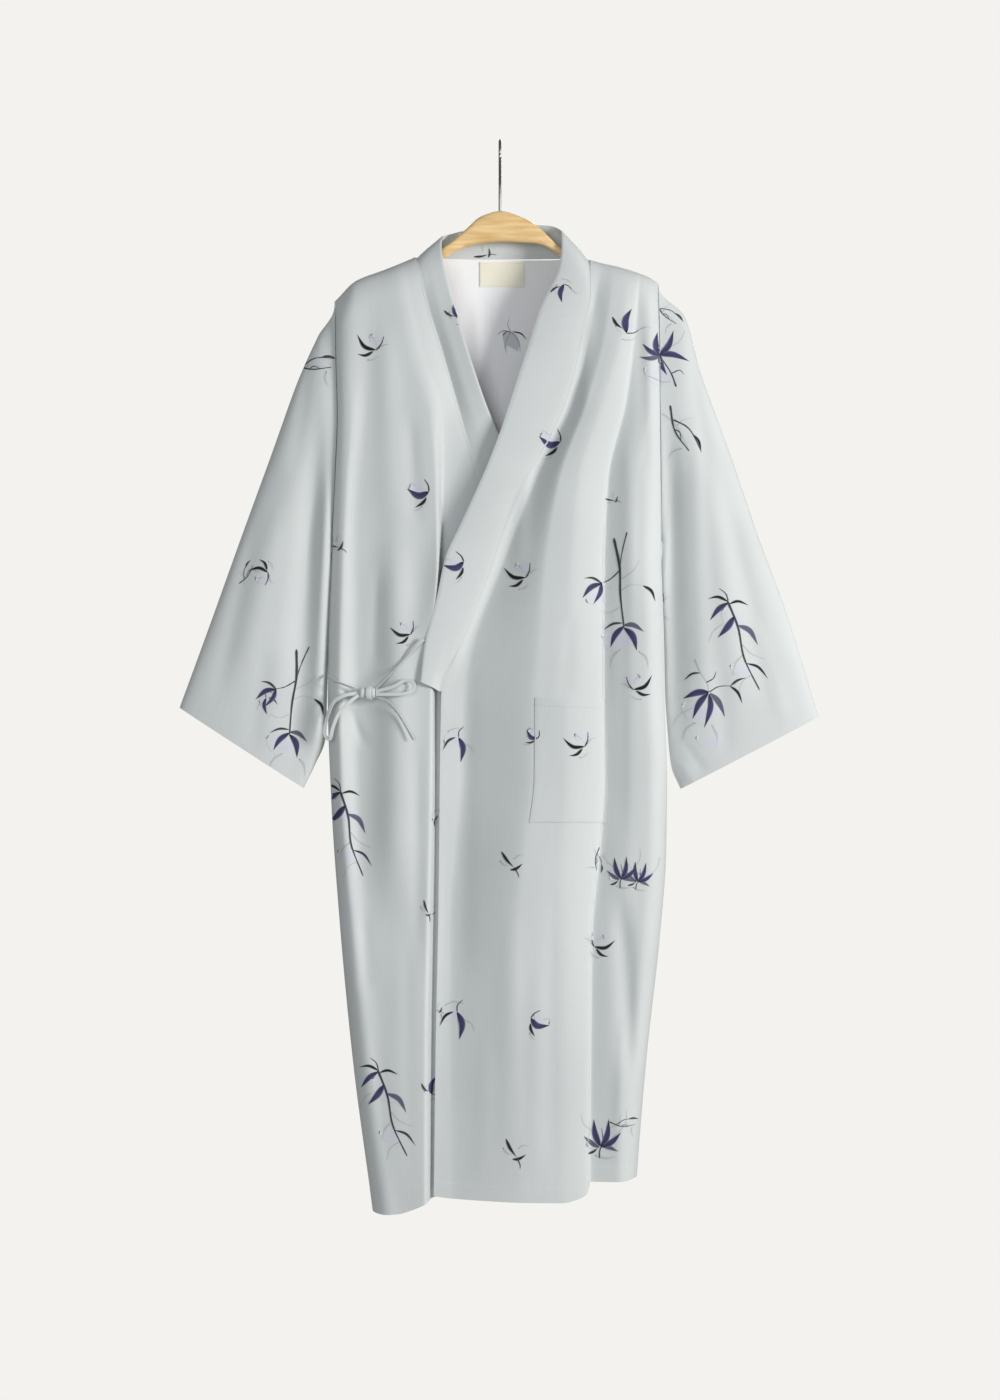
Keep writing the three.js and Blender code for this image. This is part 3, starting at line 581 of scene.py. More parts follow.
CREASES_LEFT = [
    [-36, -560, -48, -1050, 12, -1.5], [168, -190, 176, -420, 8, -2.2],
    [112, -190, 96, -330, 9, 1.8], [14, -900, 8, -1250, 14, 1.2],
    [64, -860, 62, -1262, 12, -1.1], [84, -560, 78, -680, 8, -1.2], [150, -460, 146, -900, 12, -2.0],
    [143, -886, 158, -1138, 12, -5], [150, -1020, 140, -1240, 8, 2.0], [-16, -1060, -20, -1262, 12, 1.0],
    [152, -330, 156, -560, 9, 1.2], [46, -960, 40, -1262, 12, 0.9], [36, -360, 20, -520, 9, 1.6],
]


def line_top(x_of):
    z = -200.0
    for _ in range(40):
        z = float(shoulder_z(x_of(z)))
    return z


def front(lines, hems, divisions, rows, side, arm, creases, side_at):
    """A front panel from lines down the cloth, each (x of z, depth of z)."""
    u = []
    for i, count in enumerate(divisions):
        t = np.arange(count) / count
        u.append(i + (t * t if side_at == 0 and i == 0 else t * (2 - t) if side_at == i else t))
    u = np.concatenate(u + [[len(divisions)]])
    tops = [line_top(x_of) for x_of, _ in lines]
    grid = np.empty((len(u), len(rows), 3))
    for j, v in enumerate(rows):
        at = [(i, float(x_of(mix(t, h, v))), mix(t, h, v), float(f_of(mix(t, h, v))))
              for i, ((x_of, f_of), t, h) in enumerate(zip(lines, tops, hems))]
        grid[:, j, 0], grid[:, j, 2], grid[:, j, 1] = (through(at, 0, c)(u) for c in (1, 2, 3))
    x, z, f = grid[:, :, 0], grid[:, :, 2], grid[:, :, 1]
    to_side = np.abs(x - side(z))
    f = mix(arm(z), f, rolled(to_side, SIDE_ROLL))
    f = f + folds(creases, x, z) * ease(to_side / 30)
    grid[:, :, 1] = -(f * rolled(shoulder_z(x) - z, ROLL) + SEAM / 2 + 0.01)
    return u, grid


R = [through(RIGHT_FRONT, 0, c) for c in range(1, 12)]
right_lines = [(R[0], R[2]), (R[1], R[2]), (R[3], R[4]), (R[5], R[6]), (R[7], R[8]),
               (through(SEAM_UNDER, 0, 1), R[10])]
front_rows = rows_down(FRONT_LONG, lines=[0.461 * FRONT_LONG])
u_right, right_grid = front(
    right_lines, (-1282, -1284, -1283, -1272, -1264, -1258), (16, 14, 22, 16, 26), front_rows, side_right, arm_right,
    CREASES_RIGHT, 0)
L = [through(LEFT_FRONT, 0, c) for c in range(1, 16)]
left_lines = [(through(SEAM_OVER, 0, 1), L[1]), (L[2], L[3]), (L[4], L[5]), (L[6], L[7]), (L[8], L[9]), (L[10], L[11]),
              (L[12], L[13]), (L[14], L[13])]
u_left, left_grid = front(
    left_lines, (-1262, -1265, -1268, -1268, -1258, -1244, -1244, -1240), (18, 18, 18, 12, 9, 14, 22), front_rows,
    side_left, arm_left, CREASES_LEFT, 6)
hem_zone = np.clip((front_rows - (1 - HEM / FRONT_LONG)) * FRONT_LONG / 1.2, 0, 1)
right = cloth("silk_front_right", right_grid, half=-1, hem=np.tile(hem_zone, (len(u_right), 1)))
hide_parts("front_right")
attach(right, "root")
left = cloth("silk_front_left", left_grid, half=-1, hem=np.tile(hem_zone, (len(u_left), 1)))
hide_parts("front_left")
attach(left, "root")

# ---------------------------------------------------------------------------
# The collar band: one long bias strip of the same silk, folded double along its
# free edge and set on the two fronts and round the neck, with a soft roll.
# ---------------------------------------------------------------------------
BAND = 2.2            # thickness of the doubled strip, mm
BAND_FOOT = -662      # where it ends on each front
RUNS, WIDE = 420, 22  # places along it and across it
FREE_UNDER = [  # z of the seam; x, z and depth of the free edge
    [-139, -69, -113, 2],
    [-154, -70, -126, 11],
    [-178, -68, -144, 19],
    [-199, -61, -174, 22],
    [-250, -46, -227, 24],
    [-298, -29, -280, 21],
    [-332, -16, -317, 15],
    [-359, -4, -346, 11],
    [-418, 22, -408, 8],
    [-478, 49, -462, 8],
    [-564, 78, -552, 8],
    [-616, 92, -606, 8],
    [-656, 97, -648, 8],
]
FREE_OVER = [
    [-142, 74, -107, 2],
    [-156, 74, -121, 11],
    [-184, 71, -151, 18],
    [-220, 49, -198, 22],
    [-268, 34, -246, 24],
    [-310, 17, -298, 25],
    [-355, 0, -350, 25],
    [-418, -19, -398, 25],
    [-478, -48, -462, 25],
    [-514, -65, -499, 26],
    [-564, -76, -550, 27],
    [-616, -90, -604, 27],
    [-656, -95, -648, 27],
]
FREE_BACK = [  # x of the seam; x, z and depth of the free edge
    [-102, -69, -113, -2],
    [-86, -61, -110, -9],
    [-68, -50, -106, -15],
    [-36, -26, -100, -19],
    [0, 0, -97, -20],
    [36, 26, -97, -19],
    [72, 55, -98, -15],
    [92, 67, -101, -9],
    [108, 74, -107, -2],
]


def free_edge(rows):
    low, high = min(r[0] for r in rows), max(r[0] for r in rows)
    x, z, f = (through(rows, 0, c) for c in (1, 2, 3))

    def edge_at(t):
        t = np.clip(t, low, high)
        return np.array([float(x(t)), -float(f(t)), float(z(t))])
    return edge_at


def softened(rows, reach=4):
    """Each direction averaged with its neighbours along the seam."""
    rows = np.array(rows)
    rows /= np.linalg.norm(rows, axis=1, keepdims=True)
    padded = np.concatenate([rows[:1].repeat(reach, 0), rows, rows[-1:].repeat(reach, 0)])
    return sum(padded[k:k + len(rows)] for k in range(2 * reach + 1)) / (2 * reach + 1)


band_rows = []
for seam, inside, free, roll, gap, keep in (
        (right_grid[-1][::-1], right_grid[-2][::-1], free_edge(FREE_UNDER), 1.0, 0.12, lambda p: p[2] >= BAND_FOOT),
        (back_grid[:, 0], back_grid[:, 1], free_edge(FREE_BACK), 0.0, 1.2,
         lambda p: NECK[0] + 4 <= p[0] <= NECK[1] - 4),
        (left_grid[0], left_grid[1], free_edge(FREE_OVER), 3.0, 0.12, lambda p: p[2] >= BAND_FOOT)):
    away = softened(seam - inside)
    for p, way in zip(seam, away):
        if not keep(p):
            continue
        way = way / np.linalg.norm(way)
        edge = free(p[0] if gap > 1 else p[2])
        row = [p + way * gap, p + way * 3.5]
        for t in (0.42, 0.72, 0.92, 1.0):
            q = mix(p, edge, t)
            q[1] -= roll * math.sin(math.pi * t) * 0.6
            row.append(q)
        band_rows.append(smooth_path(row, WIDE))
band_grid = np.array(band_rows)
run = np.concatenate([[0], np.cumsum(np.linalg.norm(np.diff(band_grid[:, 11], axis=0), axis=1))])
even = np.linspace(0, run[-1], RUNS)
soft = np.empty((RUNS, WIDE, 3))
for j in range(WIDE):
    for c in range(3):
        soft[:, j, c] = np.interp(even, run, band_grid[:, j, c])
for _ in range(6):
    soft[1:-1] = 0.25 * soft[:-2] + 0.5 * soft[1:-1] + 0.25 * soft[2:]
across = np.linspace(0, 1, WIDE)
thick = BAND * np.sqrt(np.maximum(0.03, 1 - np.clip((across - 0.955) / 0.045, 0, 1) ** 2))
thick = thick * (0.5 + 0.5 * ease(across / 0.2))
band = cloth("silk_collar_band", soft, thick=np.tile(thick, (RUNS, 1))[:, :, None], both=True)
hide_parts("collar_band")
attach(band, "root")

# ---------------------------------------------------------------------------
# The sleeves: two straight wide tubes, each one piece of silk folded over the
# arm and seamed beneath, set into a shallow armhole and hemmed at the cuff.
# ---------------------------------------------------------------------------
RIGHT_SLEEVE = [  # x, z of the top edge, x, z of the underside, half depth, how far back
    [-197, -191, -199, -478, 9, 0],
    [-218, -233, -203, -540, 15, 3],
    [-240, -281, -206, -600, 18, 5],
    [-276, -380, -208, -658, 20, 6],
    [-312, -479, -210, -714, 20, 5],
    [-348, -580, -222, -746, 18, 3],
    [-384, -679, -236, -775, 15, 0],
]
LEFT_SLEEVE = [
    [188, -170, 193, -478, 9, 0],
    [221, -209, 196, -550, 15, 3],
    [240, -275, 198, -610, 18, 5],
    [275, -371, 199, -660, 20, 6],
    [308, -468, 202, -708, 20, 5],
    [343, -564, 206, -748, 18, 3],
    [382, -690, 217, -776, 15, 0],
]
CREASES_SLEEVE_RIGHT = [  # x, z of the top, x, z of the foot, width, height
    [-216, -300, -250, -800, 17, -10], [-207, -380, -218, -790, 9, 6], [-258, -406, -312, -658, 16, 3.0],
    [-290, -440, -344, -690, 11, -2.2], [-226, -230, -250, -420, 9, -1.8], [-276, -600, -300, -740, 10, -1.8],
    [-246, -620, -256, -760, 9, 1.6],
]
CREASES_SLEEVE_LEFT = [
    [203, -300, 207, -780, 15, -10], [246, -346, 288, -706, 16, 3.5], [232, -300, 246, -720, 11, 2.5],
    [214, -740, 232, -772, 7, 2.0], [218, -716, 246, -760, 6, -1.8], [270, -420, 330, -690, 12, -2.2],
    [226, -220, 250, -400, 9, -1.8], [300, -560, 344, -706, 10, 1.8], [262, -620, 272, -744, 9, -1.6],
]


def sleeve(table, creases, side, arm, out):
    """Flattened rings from the armhole to the cuff, the fold of the cloth on top."""
    rows = [[i] + list(r) for i, r in enumerate(table)]
    top_x_, top_z_, low_x, low_z, deep, back_by = (through(rows, 0, c) for c in range(1, 7))
    a = np.linspace(0, 2 * np.pi, 97)[:-1]
    ring = np.unique(np.concatenate([np.linspace(0, 1, 112), 1 - np.array([0.055, 0.0515])]))
    A, T = np.meshgrid(a, ring, indexing="ij")
    k = (len(table) - 1) * T ** 1.15
    half = (1 + softly(np.cos(A), 0.85)) / 2
    x, z = mix(low_x(k), top_x_(k), half), mix(low_z(k), top_z_(k), half)
    clear = mix(1.3, 1.45, np.clip(k * 1.6, 0, 1))
    near = side(z) + out * clear
    x = np.where(k < 1, mix(near, x, ease(k)), x)
    x = np.minimum(x, near) if out < 0 else np.maximum(x, near)
    s = np.sin(A)
    y = back_by(k) - softly(s, 0.8) * deep(k)
    y = np.where(k < 1, mix(-np.sign(s) * arm(z) * rolled(shoulder_z(x) - z, ROLL), y, ease(k)), y)
    f = folds(creases, x, z)
    y = y - np.where(s > 0, f * s, 0.6 * f * s)
    return np.stack([x, y, z], axis=2), ring


sleeve_grids = {}
for name, node, args in (
        ("silk_sleeve_right", "sleeve_right", (RIGHT_SLEEVE, CREASES_SLEEVE_RIGHT, side_right, arm_right, -1)),
        ("silk_sleeve_left", "sleeve_left", (LEFT_SLEEVE, CREASES_SLEEVE_LEFT, side_left, arm_left, 1))):
    grid, ring = sleeve(*args)
    sleeve_grids[name] = grid
    tube = cloth(name, grid, around=True)
    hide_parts(node)
    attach(tube, "root")

# ---------------------------------------------------------------------------
# The patch pocket: a square of silk, its top turned down and stitched, sewn on
# the left front along its sides and foot. The mouth stands a little open.
# ---------------------------------------------------------------------------


def lying(grid, x, z, out):
    """Points on a grid of cloth at places (x, z), moved out along its face."""
    x, z = np.atleast_1d(np.asarray(x, float)), np.atleast_1d(np.asarray(z, float))
    found = np.empty((len(x), 3))
    face = np.empty((len(x), 3))
    n = normals(grid)
    if np.sum(n[:, :, 1]) > 0:
        n = -n
    for k in range(len(x)):
        at_x = np.array([np.interp(-z[k], -col[:, 2], col[:, 0]) for col in grid])
        order = 1 if at_x[-1] > at_x[0] else -1
        i = int(np.clip(np.searchsorted(at_x[::order], x[k]) - 1, 0, len(at_x) - 2))
        if order < 0:
            i = len(at_x) - 2 - i
        t = (x[k] - at_x[i]) / (at_x[i + 1] - at_x[i])
        both = []
        for col, nn in ((grid[i], n[i]), (grid[i + 1], n[i + 1])):
            both.append([np.interp(-z[k], -col[:, 2], w[:, c]) for w in (col, nn) for c in range(3)])
        both = mix(np.array(both[0]), np.array(both[1]), t)
        found[k], face[k] = both[:3], both[3:]
    face /= np.linalg.norm(face, axis=1, keepdims=True)
    return found + face * np.broadcast_to(np.asarray(out, float), (len(x),))[:, None]


pocket_top = through([[43, -667], [119, -671], [137, -680]], 0, 1)
pocket_foot = through([[40, -815], [119, -816], [130, -817]], 0, 1)
inside = [i for i, u in enumerate(u_left) if 2 <= u <= 5.25]
down = np.unique(np.concatenate([np.linspace(0, 1, 44), [0.004, 0.064, 0.0665, 0.992]]))
pocket_grid = np.empty((len(inside), len(down), 3))
n_left = normals(left_grid)
n_left *= -1 if np.sum(n_left[:, :, 1]) > 0 else 1
for a, i in enumerate(inside):
    col = left_grid[i]
    middle = np.interp(735, -col[:, 2], col[:, 0])
    z = mix(float(pocket_top(middle)), float(pocket_foot(middle)), down)
    s = a / (len(inside) - 1)
    puff = 1.3 * math.sin(math.pi * s) ** 0.8 * np.maximum(0, 1 - down / 0.5) ** 1.6
    puff = puff + 0.5 * math.sin(math.pi * s) * np.sin(np.pi * down)
    for c in range(3):
        at, way = (np.interp(-z, -col[:, 2], w[:, c]) for w in (col, n_left[i]))
        pocket_grid[a, :, c] = at + way * (1.15 + puff)
hem_zone = np.tile(np.clip((0.0655 - down) / 0.002, 0, 1), (len(inside), 1))
rim = np.minimum(1, np.arange(len(inside)) / 2)[:, None]
thin = 0.35 + 0.65 * np.minimum(np.minimum(rim, rim[::-1]), np.clip((1 - down) / 0.012, 0, 1)[None, :])
pocket = cloth("silk_pocket", pocket_grid, thick=(0.9 * thin)[:, :, None], hem=hem_zone * 0.5)
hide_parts("pocket")
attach(pocket, "root")

# ---------------------------------------------------------------------------
# The label: a small woven cotton tab, ends turned under, sewn inside the neck.
# ---------------------------------------------------------------------------
weave, n, l, shade = painted("label_cotton")
put(shade, Base_Color=(0.87, 0.84, 0.70, 1), Roughness=0.85)
uv, ribs, bump = nodes(n, "UVMap", "TexWave", "Bump")
uv.uv_map, ribs.bands_direction = "cloth", "Y"
put(ribs, Scale=420)
put(bump, Strength=0.4, Distance=0.0001)
join(l, (uv, 0, ribs, "Vector"), (ribs, "Fac", bump, "Height"), (bump, 0, shade, "Normal"))
gx, gz = np.meshgrid(np.linspace(-24, 29, 15), np.linspace(-141.5, -171.5, 11), indexing="ij")
label_grid = lying(back_grid, gx.ravel(), gz.ravel(), SILK / 2 + 0.35 + 0.4).reshape(15, 11, 3)
label = cloth("woven_label", label_grid, thick=0.8, both=True)
label.data.materials[0] = weave
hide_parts("label")
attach(label, "root")

# ---------------------------------------------------------------------------
# The ties: narrow rouleaux of the same silk, one from the side seam and one
# from the end of the collar band, tied in a small flat bow.
# ---------------------------------------------------------------------------


def rouleau(name, node, path, width, turns, thick=1.5, count=110, blunt=False):
    """A flat tube of cloth along (x, depth, z); turns are the roll about its own line."""
    line = smooth_path([(x, -f, z) for x, f, z in path], count)
    way = np.gradient(line, axis=0)
    way /= np.linalg.norm(way, axis=1, keepdims=True)
    across = np.cross(way, (0, 1, 0))
    across /= np.linalg.norm(across, axis=1, keepdims=True)
    up = np.cross(way, across)
    roll = np.radians(np.interp(np.linspace(0, 1, count), np.linspace(0, 1, len(turns)), turns))[:, None]
    across, up = across * np.cos(roll) + up * np.sin(roll), up * np.cos(roll) - across * np.sin(roll)
    a = np.linspace(0, 2 * np.pi, 25)[:-1]
    rings = []
    for k in range(count):
        t = k / (count - 1)
        narrow = 1 - 0.08 * math.sin(t * 21) ** 2 - (0.25 * max(0, (t - 0.97) / 0.03) if blunt else 0)
        rings.append([
            line[k] + across[k] * width / 2 * narrow * softly(math.cos(q), 0.55)
            + up[k] * thick / 2 * softly(math.sin(q), 0.8) * (1 - 0.25 * math.exp(-(math.cos(q) * 2.2) ** 2))
            for q in a])
    piece = loft(name, rings, silk)
    layer = piece.data.uv_layers.new(name="cloth")
    loops = np.empty(len(piece.data.loops), np.int32)
    piece.data.loops.foreach_get("vertex_index", loops)
    run = np.concatenate([[0], np.cumsum(np.linalg.norm(np.diff(line, axis=0), axis=1))])
    around = (a / (2 * np.pi) * 2 * width)[None, :]
    uv = np.stack(np.broadcast_arrays(around, run[:, None]), axis=2).reshape(-1, 2) / 1000
    layer.data.foreach_set("uv", uv[loops].astype(np.float32).ravel())
    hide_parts(node)
    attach(piece, "root")
    return piece, [tuple(map(float, p / 1000)) for p in line], float(run[-1]) / 1000


for name, node, width, turns, lay, far, path in (
        ("tie_from_side", "tie_side", 4.6, (0, 40, 62, 55, 20), "taut", "knot",
         [(-205, 13.5, -640), (-202.6, 20, -642), (-197, 26.2, -646.5), (-186, 28.2, -651), (-168, 22.6, -657.6)]),
        ("tie_from_band", "tie_front", 5, (0, 25, 55, 65, 40), "taut", "knot",
         [(-91, 29.5, -597), (-104, 28.5, -609), (-117, 27, -623), (-130, 25.5, -637), (-148.3, 22.4, -655.5)]),
        ("bow_loop_side", "tie_loop_side", 4.6, (0, 10, 18, 25, 10, 0, 12, 30, 15, 0), "loose", "object",
         [(-168.3, 25.2, -661.5), (-184, 29, -664), (-198, 29, -672), (-206, 27, -690), (-209, 26, -710),
          (-203, 28, -716), (-199, 29.5, -702), (-192, 31.5, -686), (-181, 31, -674), (-168.9, 27.9, -664)]),
        ("bow_loop_front", "tie_loop_front", 4.6, (0, 14, 20, 8, 0, 10, 18, 0), "loose", "object",
         [(-147.9, 25.2, -659.5), (-128, 28, -654), (-112, 29, -646), (-103, 29, -650), (-104, 29.5, -658),
          (-113, 30.5, -662), (-130, 30.2, -663), (-148, 27.9, -663)]),
        ("bow_free_end", "tie_tail", 4.5, (0, 35, 60, 62, 50), "hanging", "bare",
         [(-147.7, 22.4, -664.8), (-139, 25.5, -669), (-128, 28.5, -678), (-118, 29, -691), (-103, 30, -717)])):
    tie, line, long = rouleau(name, node, path, width, turns, blunt=far == "bare")

KNOT_Y, KNOT_Z, WRAP_X = -25, -661.5, -155.5
knot_core = [0.80, 0.97, 1.0, 0.93, 0.84, 0.80, 0.78, 0.80, 0.85, 0.94, 1.0, 0.96, 0.80]
rings = []
for k in range(49):
    t = k / 48
    w = float(np.interp(t * 12, range(13), knot_core))
    a = np.linspace(0, 2 * np.pi, 41)[:-1]
    pleat = 1 + 0.045 * np.sin(a * 5 + t * 2.6) * math.sin(math.pi * t)
    rings.append([(-158 + 9 * (2 * t - 1), KNOT_Y + 5 * w * p * math.cos(q),
                   KNOT_Z + 6.5 * w * p * math.sin(q) + 0.5 * math.sin(3 * t)) for q, p in zip(a, pleat)])
knot = loft("bow_knot", rings, silk)
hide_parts("tie_knot")
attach(knot, "root")
wrap = []
for k in range(61):
    q = 2 * math.pi * k / 60
    lean = 1.3 * math.cos(q)
    section = []
    for a in np.linspace(0, 2 * np.pi, 15)[:-1]:
        out, side = 0.75 * math.sin(a), 3.4 * softly(math.cos(a), 0.6)
        grow = 1 + (out + 0.5) / 6
        section.append((WRAP_X + side + lean, KNOT_Y + 5.15 * grow * math.cos(q), KNOT_Z + 6.7 * grow * math.sin(q)))
    wrap.append(section)
m = len(wrap[0])
faces = [(k * m + i, k * m + (i + 1) % m, ((k + 1) % 60) * m + (i + 1) % m, ((k + 1) % 60) * m + i)
         for k in range(60) for i in range(m)]
points = [p for ring in wrap[:60] for p in ring]
c = np.array(points)[np.array(faces)]
outward = c.mean(1) - np.array([WRAP_X, KNOT_Y, KNOT_Z])
if np.sum(np.einsum("ij,ij->i", np.cross(c[:, 1] - c[:, 0], c[:, 3] - c[:, 0]), outward)) < 0:
    faces = [f[::-1] for f in faces]
turn = make_mesh("bow_knot_turn", points, faces, material=silk)
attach(turn, "root")

# ---------------------------------------------------------------------------
# The print: brushed bamboo sprigs and branches, screened on each panel before
# sewing in indigo, ink, a pale grey and a lavender haze. Drawn here one by one.
# ---------------------------------------------------------------------------
MOTIFS = {  # dye, a capital for a leaf and a small letter for a line; width; x, z of each point, mm
    "sprig": [("I", 9.0, 13, 1, 0, -4, -15, 5), ("k", 1.7, 13, 1, 12, 9, 7, 17), ("K", 4.2, 10, -6, 5, -13, -5, -19),
        ("G", 2.0, 5, -17, -2, -22, -9, -22), ("G", 1.5, -3, 8, -9, 12, -14, 12), ("H", 15, -14, 8, 0, 4, 12, 8)],
    "wings": [("K", 5.0, 9, -6, -6, -5, -18, 7), ("k", 1.6, 9, -6, 13, 2, 14, 12),
        ("K", 4.0, 6, -8, -2, -15, -12, -16), ("G", 2.4, 11, -4, 18, 3, 25, 4), ("G", 2.0, -4, 11, 3, 6, 8, 0),
        ("G", 1.8, 0, -20, 8, -18, 14, -12), ("H", 12, -4, 10, 8, 6, 20, 8)],
    "dart": [("K", 4.0, -12, 13, -5, 2, 4, -7), ("K", 3.8, -1, -10, 6, -9, 15, -2),
        ("k", 1.4, 4, -7, 9, -15, 10, -20), ("G", 2.1, -14, 2, -8, -4, 0, -5), ("G", 1.8, 4, 3, 10, 8, 17, 8)],
    "pair": [("I", 9.2, -2, -13, 0, 3, 11, 16), ("K", 4.0, -15, 11, -12, 1, -5, -7),
        ("k", 1.3, -2, -13, 7, -14, 16, -11), ("G", 2.2, 16, -11, 24, -10, 31, -13),
        ("G", 2.0, -10, -19, 0, -22, 11, -20), ("H", 20, -14, 0, 2, -4, 18, -6)],
    "drip": [("H", 20, -18, 4, -2, 10, 16, 10), ("I", 8.0, 2, 12, 9, -2, 7, -21),
        ("K", 3.6, -2, 12, -12, 6, -18, -7), ("k", 1.3, 2, 12, 2, 20, 8, 27), ("g", 1.1, 10, 4, 20, 0, 25, -9),
        ("G", 2.2, -14, 18, -2, 24, 12, 22)],
    "star": [("H", 28, -20, -18, 6, -24, 32, -20), ("G", 3.0, -14, -26, 4, -32, 22, -30),
        ("I", 8.2, 0, -3, -5, 12, -3, 27), ("I", 7.6, -1, -1, 11, 12, 17, 30), ("I", 7.4, -3, 1, 16, 1, 36, -7),
        ("I", 6.6, 0, 2, 2, -11, 9, -24), ("I", 6.4, 2, -1, -11, 3, -21, 13), ("S", 6.0, 2, 0, -11, -5, -25, -3),
        ("k", 1.7, 20, -38, 14, -22, 6, -9, 0, 0), ("g", 1.1, 10, 8, 24, 17, 31, 30),
        ("k", 1.3, 14, -22, 24, -18, 29, -23)],
    "crown": [("H", 26, -18, 2, 6, 10, 32, 6), ("G", 3.0, -8, -10, 6, -14, 20, -11),
        ("I", 7.6, 0, 0, -6, 15, -7, 33), ("I", 7.2, 0, -1, 8, 13, 11, 33), ("I", 7.0, 1, -1, 14, 6, 25, 17),
        ("S", 6.2, -1, -1, -10, 4, -20, 14), ("S", 5.6, 0, 1, 10, -1, 21, -6),
        ("k", 1.3, -2, -14, -1, -4, 3, 6, 2, 22), ("K", 3.2, -16, -8, -9, -6, -3, -1),
        ("g", 1.1, 14, 10, 30, 26, 32, 44), ("g", 1.0, -8, 18, -19, 28, -22, 40)],
    "ghost": [("H", 20, -10, 10, 2, -2, 10, -16), ("G", 3.6, 0, 10, -7, -4, -6, -20),
        ("G", 3.2, 1, 10, 10, -2, 13, -18), ("K", 2.2, 2, 11, 14, 8, 22, -1), ("g", 1.2, 0, 10, -4, 20, -2, 30),
        ("k", 1.0, 0, 10, -10, 12, -18, 7)],
    "droop": [("H", 26, -14, 4, 8, -18, 28, -34), ("H", 18, -8, -70, 14, -76, 36, -70),
        ("k", 2.8, -6, 14, 6, -22, 12, -62, 30, -104), ("I", 8.8, 2, -6, -8, -20, -21, -33),
        ("S", 7.4, 5, -18, 21, -26, 31, -45), ("I", 7.0, -5, 12, -18, 4, -30, -10),
        ("K", 4.0, -5, 13, -18, 20, -32, 18), ("K", 3.8, -4, 10, 8, 13, 22, 7), ("G", 3.0, 11, -56, 0, -68, -4, -84),
        ("K", 3.6, 14, -68, 30, -74, 42, -90), ("g", 1.2, 9, -42, 22, -56, 40, -64),
        ("g", 1.1, 20, -84, 8, -92, 2, -108), ("k", 1.3, -5, 14, -8, 24, -16, 31),
        ("g", 0.9, -14, -16, -26, -24, -33, -38)],
    "fan": [("H", 30, -34, -16, -6, -26, 26, -18), ("H", 18, -14, -58, 8, -62, 30, -54),
        ("g", 1.3, -22, 44, -14, 28, -4, 14, 0, 2), ("k", 1.3, 0, 2, 12, 10, 28, 12),
        ("I", 8.8, 0, 2, -16, 0, -33, -9), ("I", 8.4, -1, 1, -12, -14, -19, -35), ("I", 8.0, 0, 0, 3, -18, -3, -45),
        ("S", 7.8, 1, 1, 13, -10, 23, -29), ("K", 3.8, 26, 12, 37, 4, 44, -10), ("K", 3.4, 27, 12, 36, 20, 47, 24),
        ("K", 3.0, -13, 26, -24, 24, -34, 14), ("G", 3.2, -14, -38, -26, -48, -30, -64),
        ("G", 2.8, 6, -40, 14, -54, 13, -72), ("k", 1.4, -5, 14, 4, 20, 7, 29),
        ("g", 1.0, -20, -20, -36, -30, -44, -46)],
    "stalk": [("H", 28, -18, -30, 6, -36, 32, -30), ("H", 18, -40, 10, -26, 16, -10, 10),
        ("k", 3.1, -8, 92, 1, 56, 4, 20, 11, -22), ("k", 1.3, 8, 100, 4, 80, 2, 62, 3, 44),
        ("k", 1.5, 2, 52, -10, 40, -22, 34), ("g", 1.1, 4, 26, 16, 34, 32, 34), ("g", 1.0, 3, 40, 18, 52, 26, 66),
        ("I", 7.0, -21, 34, -34, 28, -44, 14), ("I", 6.0, -21, 35, -22, 22, -30, 7),
        ("K", 3.4, -20, 34, -32, 40, -44, 39), ("K", 4.2, 31, 34, 42, 28, 48, 15),
        ("I", 7.4, 10, -18, 0, -30, -5, -46), ("I", 8.6, 11, -20, 22, -30, 28, -48),
        ("S", 6.4, 10, -17, 22, -16, 36, -24), ("K", 3.2, 9, -14, -4, -16, -16, -25),
        ("G", 3.0, 8, -46, -2, -58, -4, -74), ("G", 2.8, 30, -48, 40, -56, 44, -70),
        ("g", 1.0, 4, 6, -8, -2, -20, 0)],
    "twigs": [("g", 1.2, -24, 30, -6, 14, 8, -12), ("g", 1.0, -6, 14, 4, 22, 18, 24),
        ("k", 2.2, -14, 40, -8, 8, 10, -18), ("k", 1.6, -10, 22, 10, 10, 24, -16),
        ("K", 3.8, 14, 4, 22, -6, 25, -20), ("k", 1.3, -9, 10, -2, 6, 0, -4), ("G", 3.0, 2, -14, -10, -18, -18, -30)],
}
PRINTED = {  # the pieces that carry the print
    "FR": "silk_front_right", "FL": "silk_front_left", "BK": "silk_back", "CB": "silk_collar_band",
    "SR": "silk_sleeve_right", "SL": "silk_sleeve_left", "PK": "silk_pocket",
}
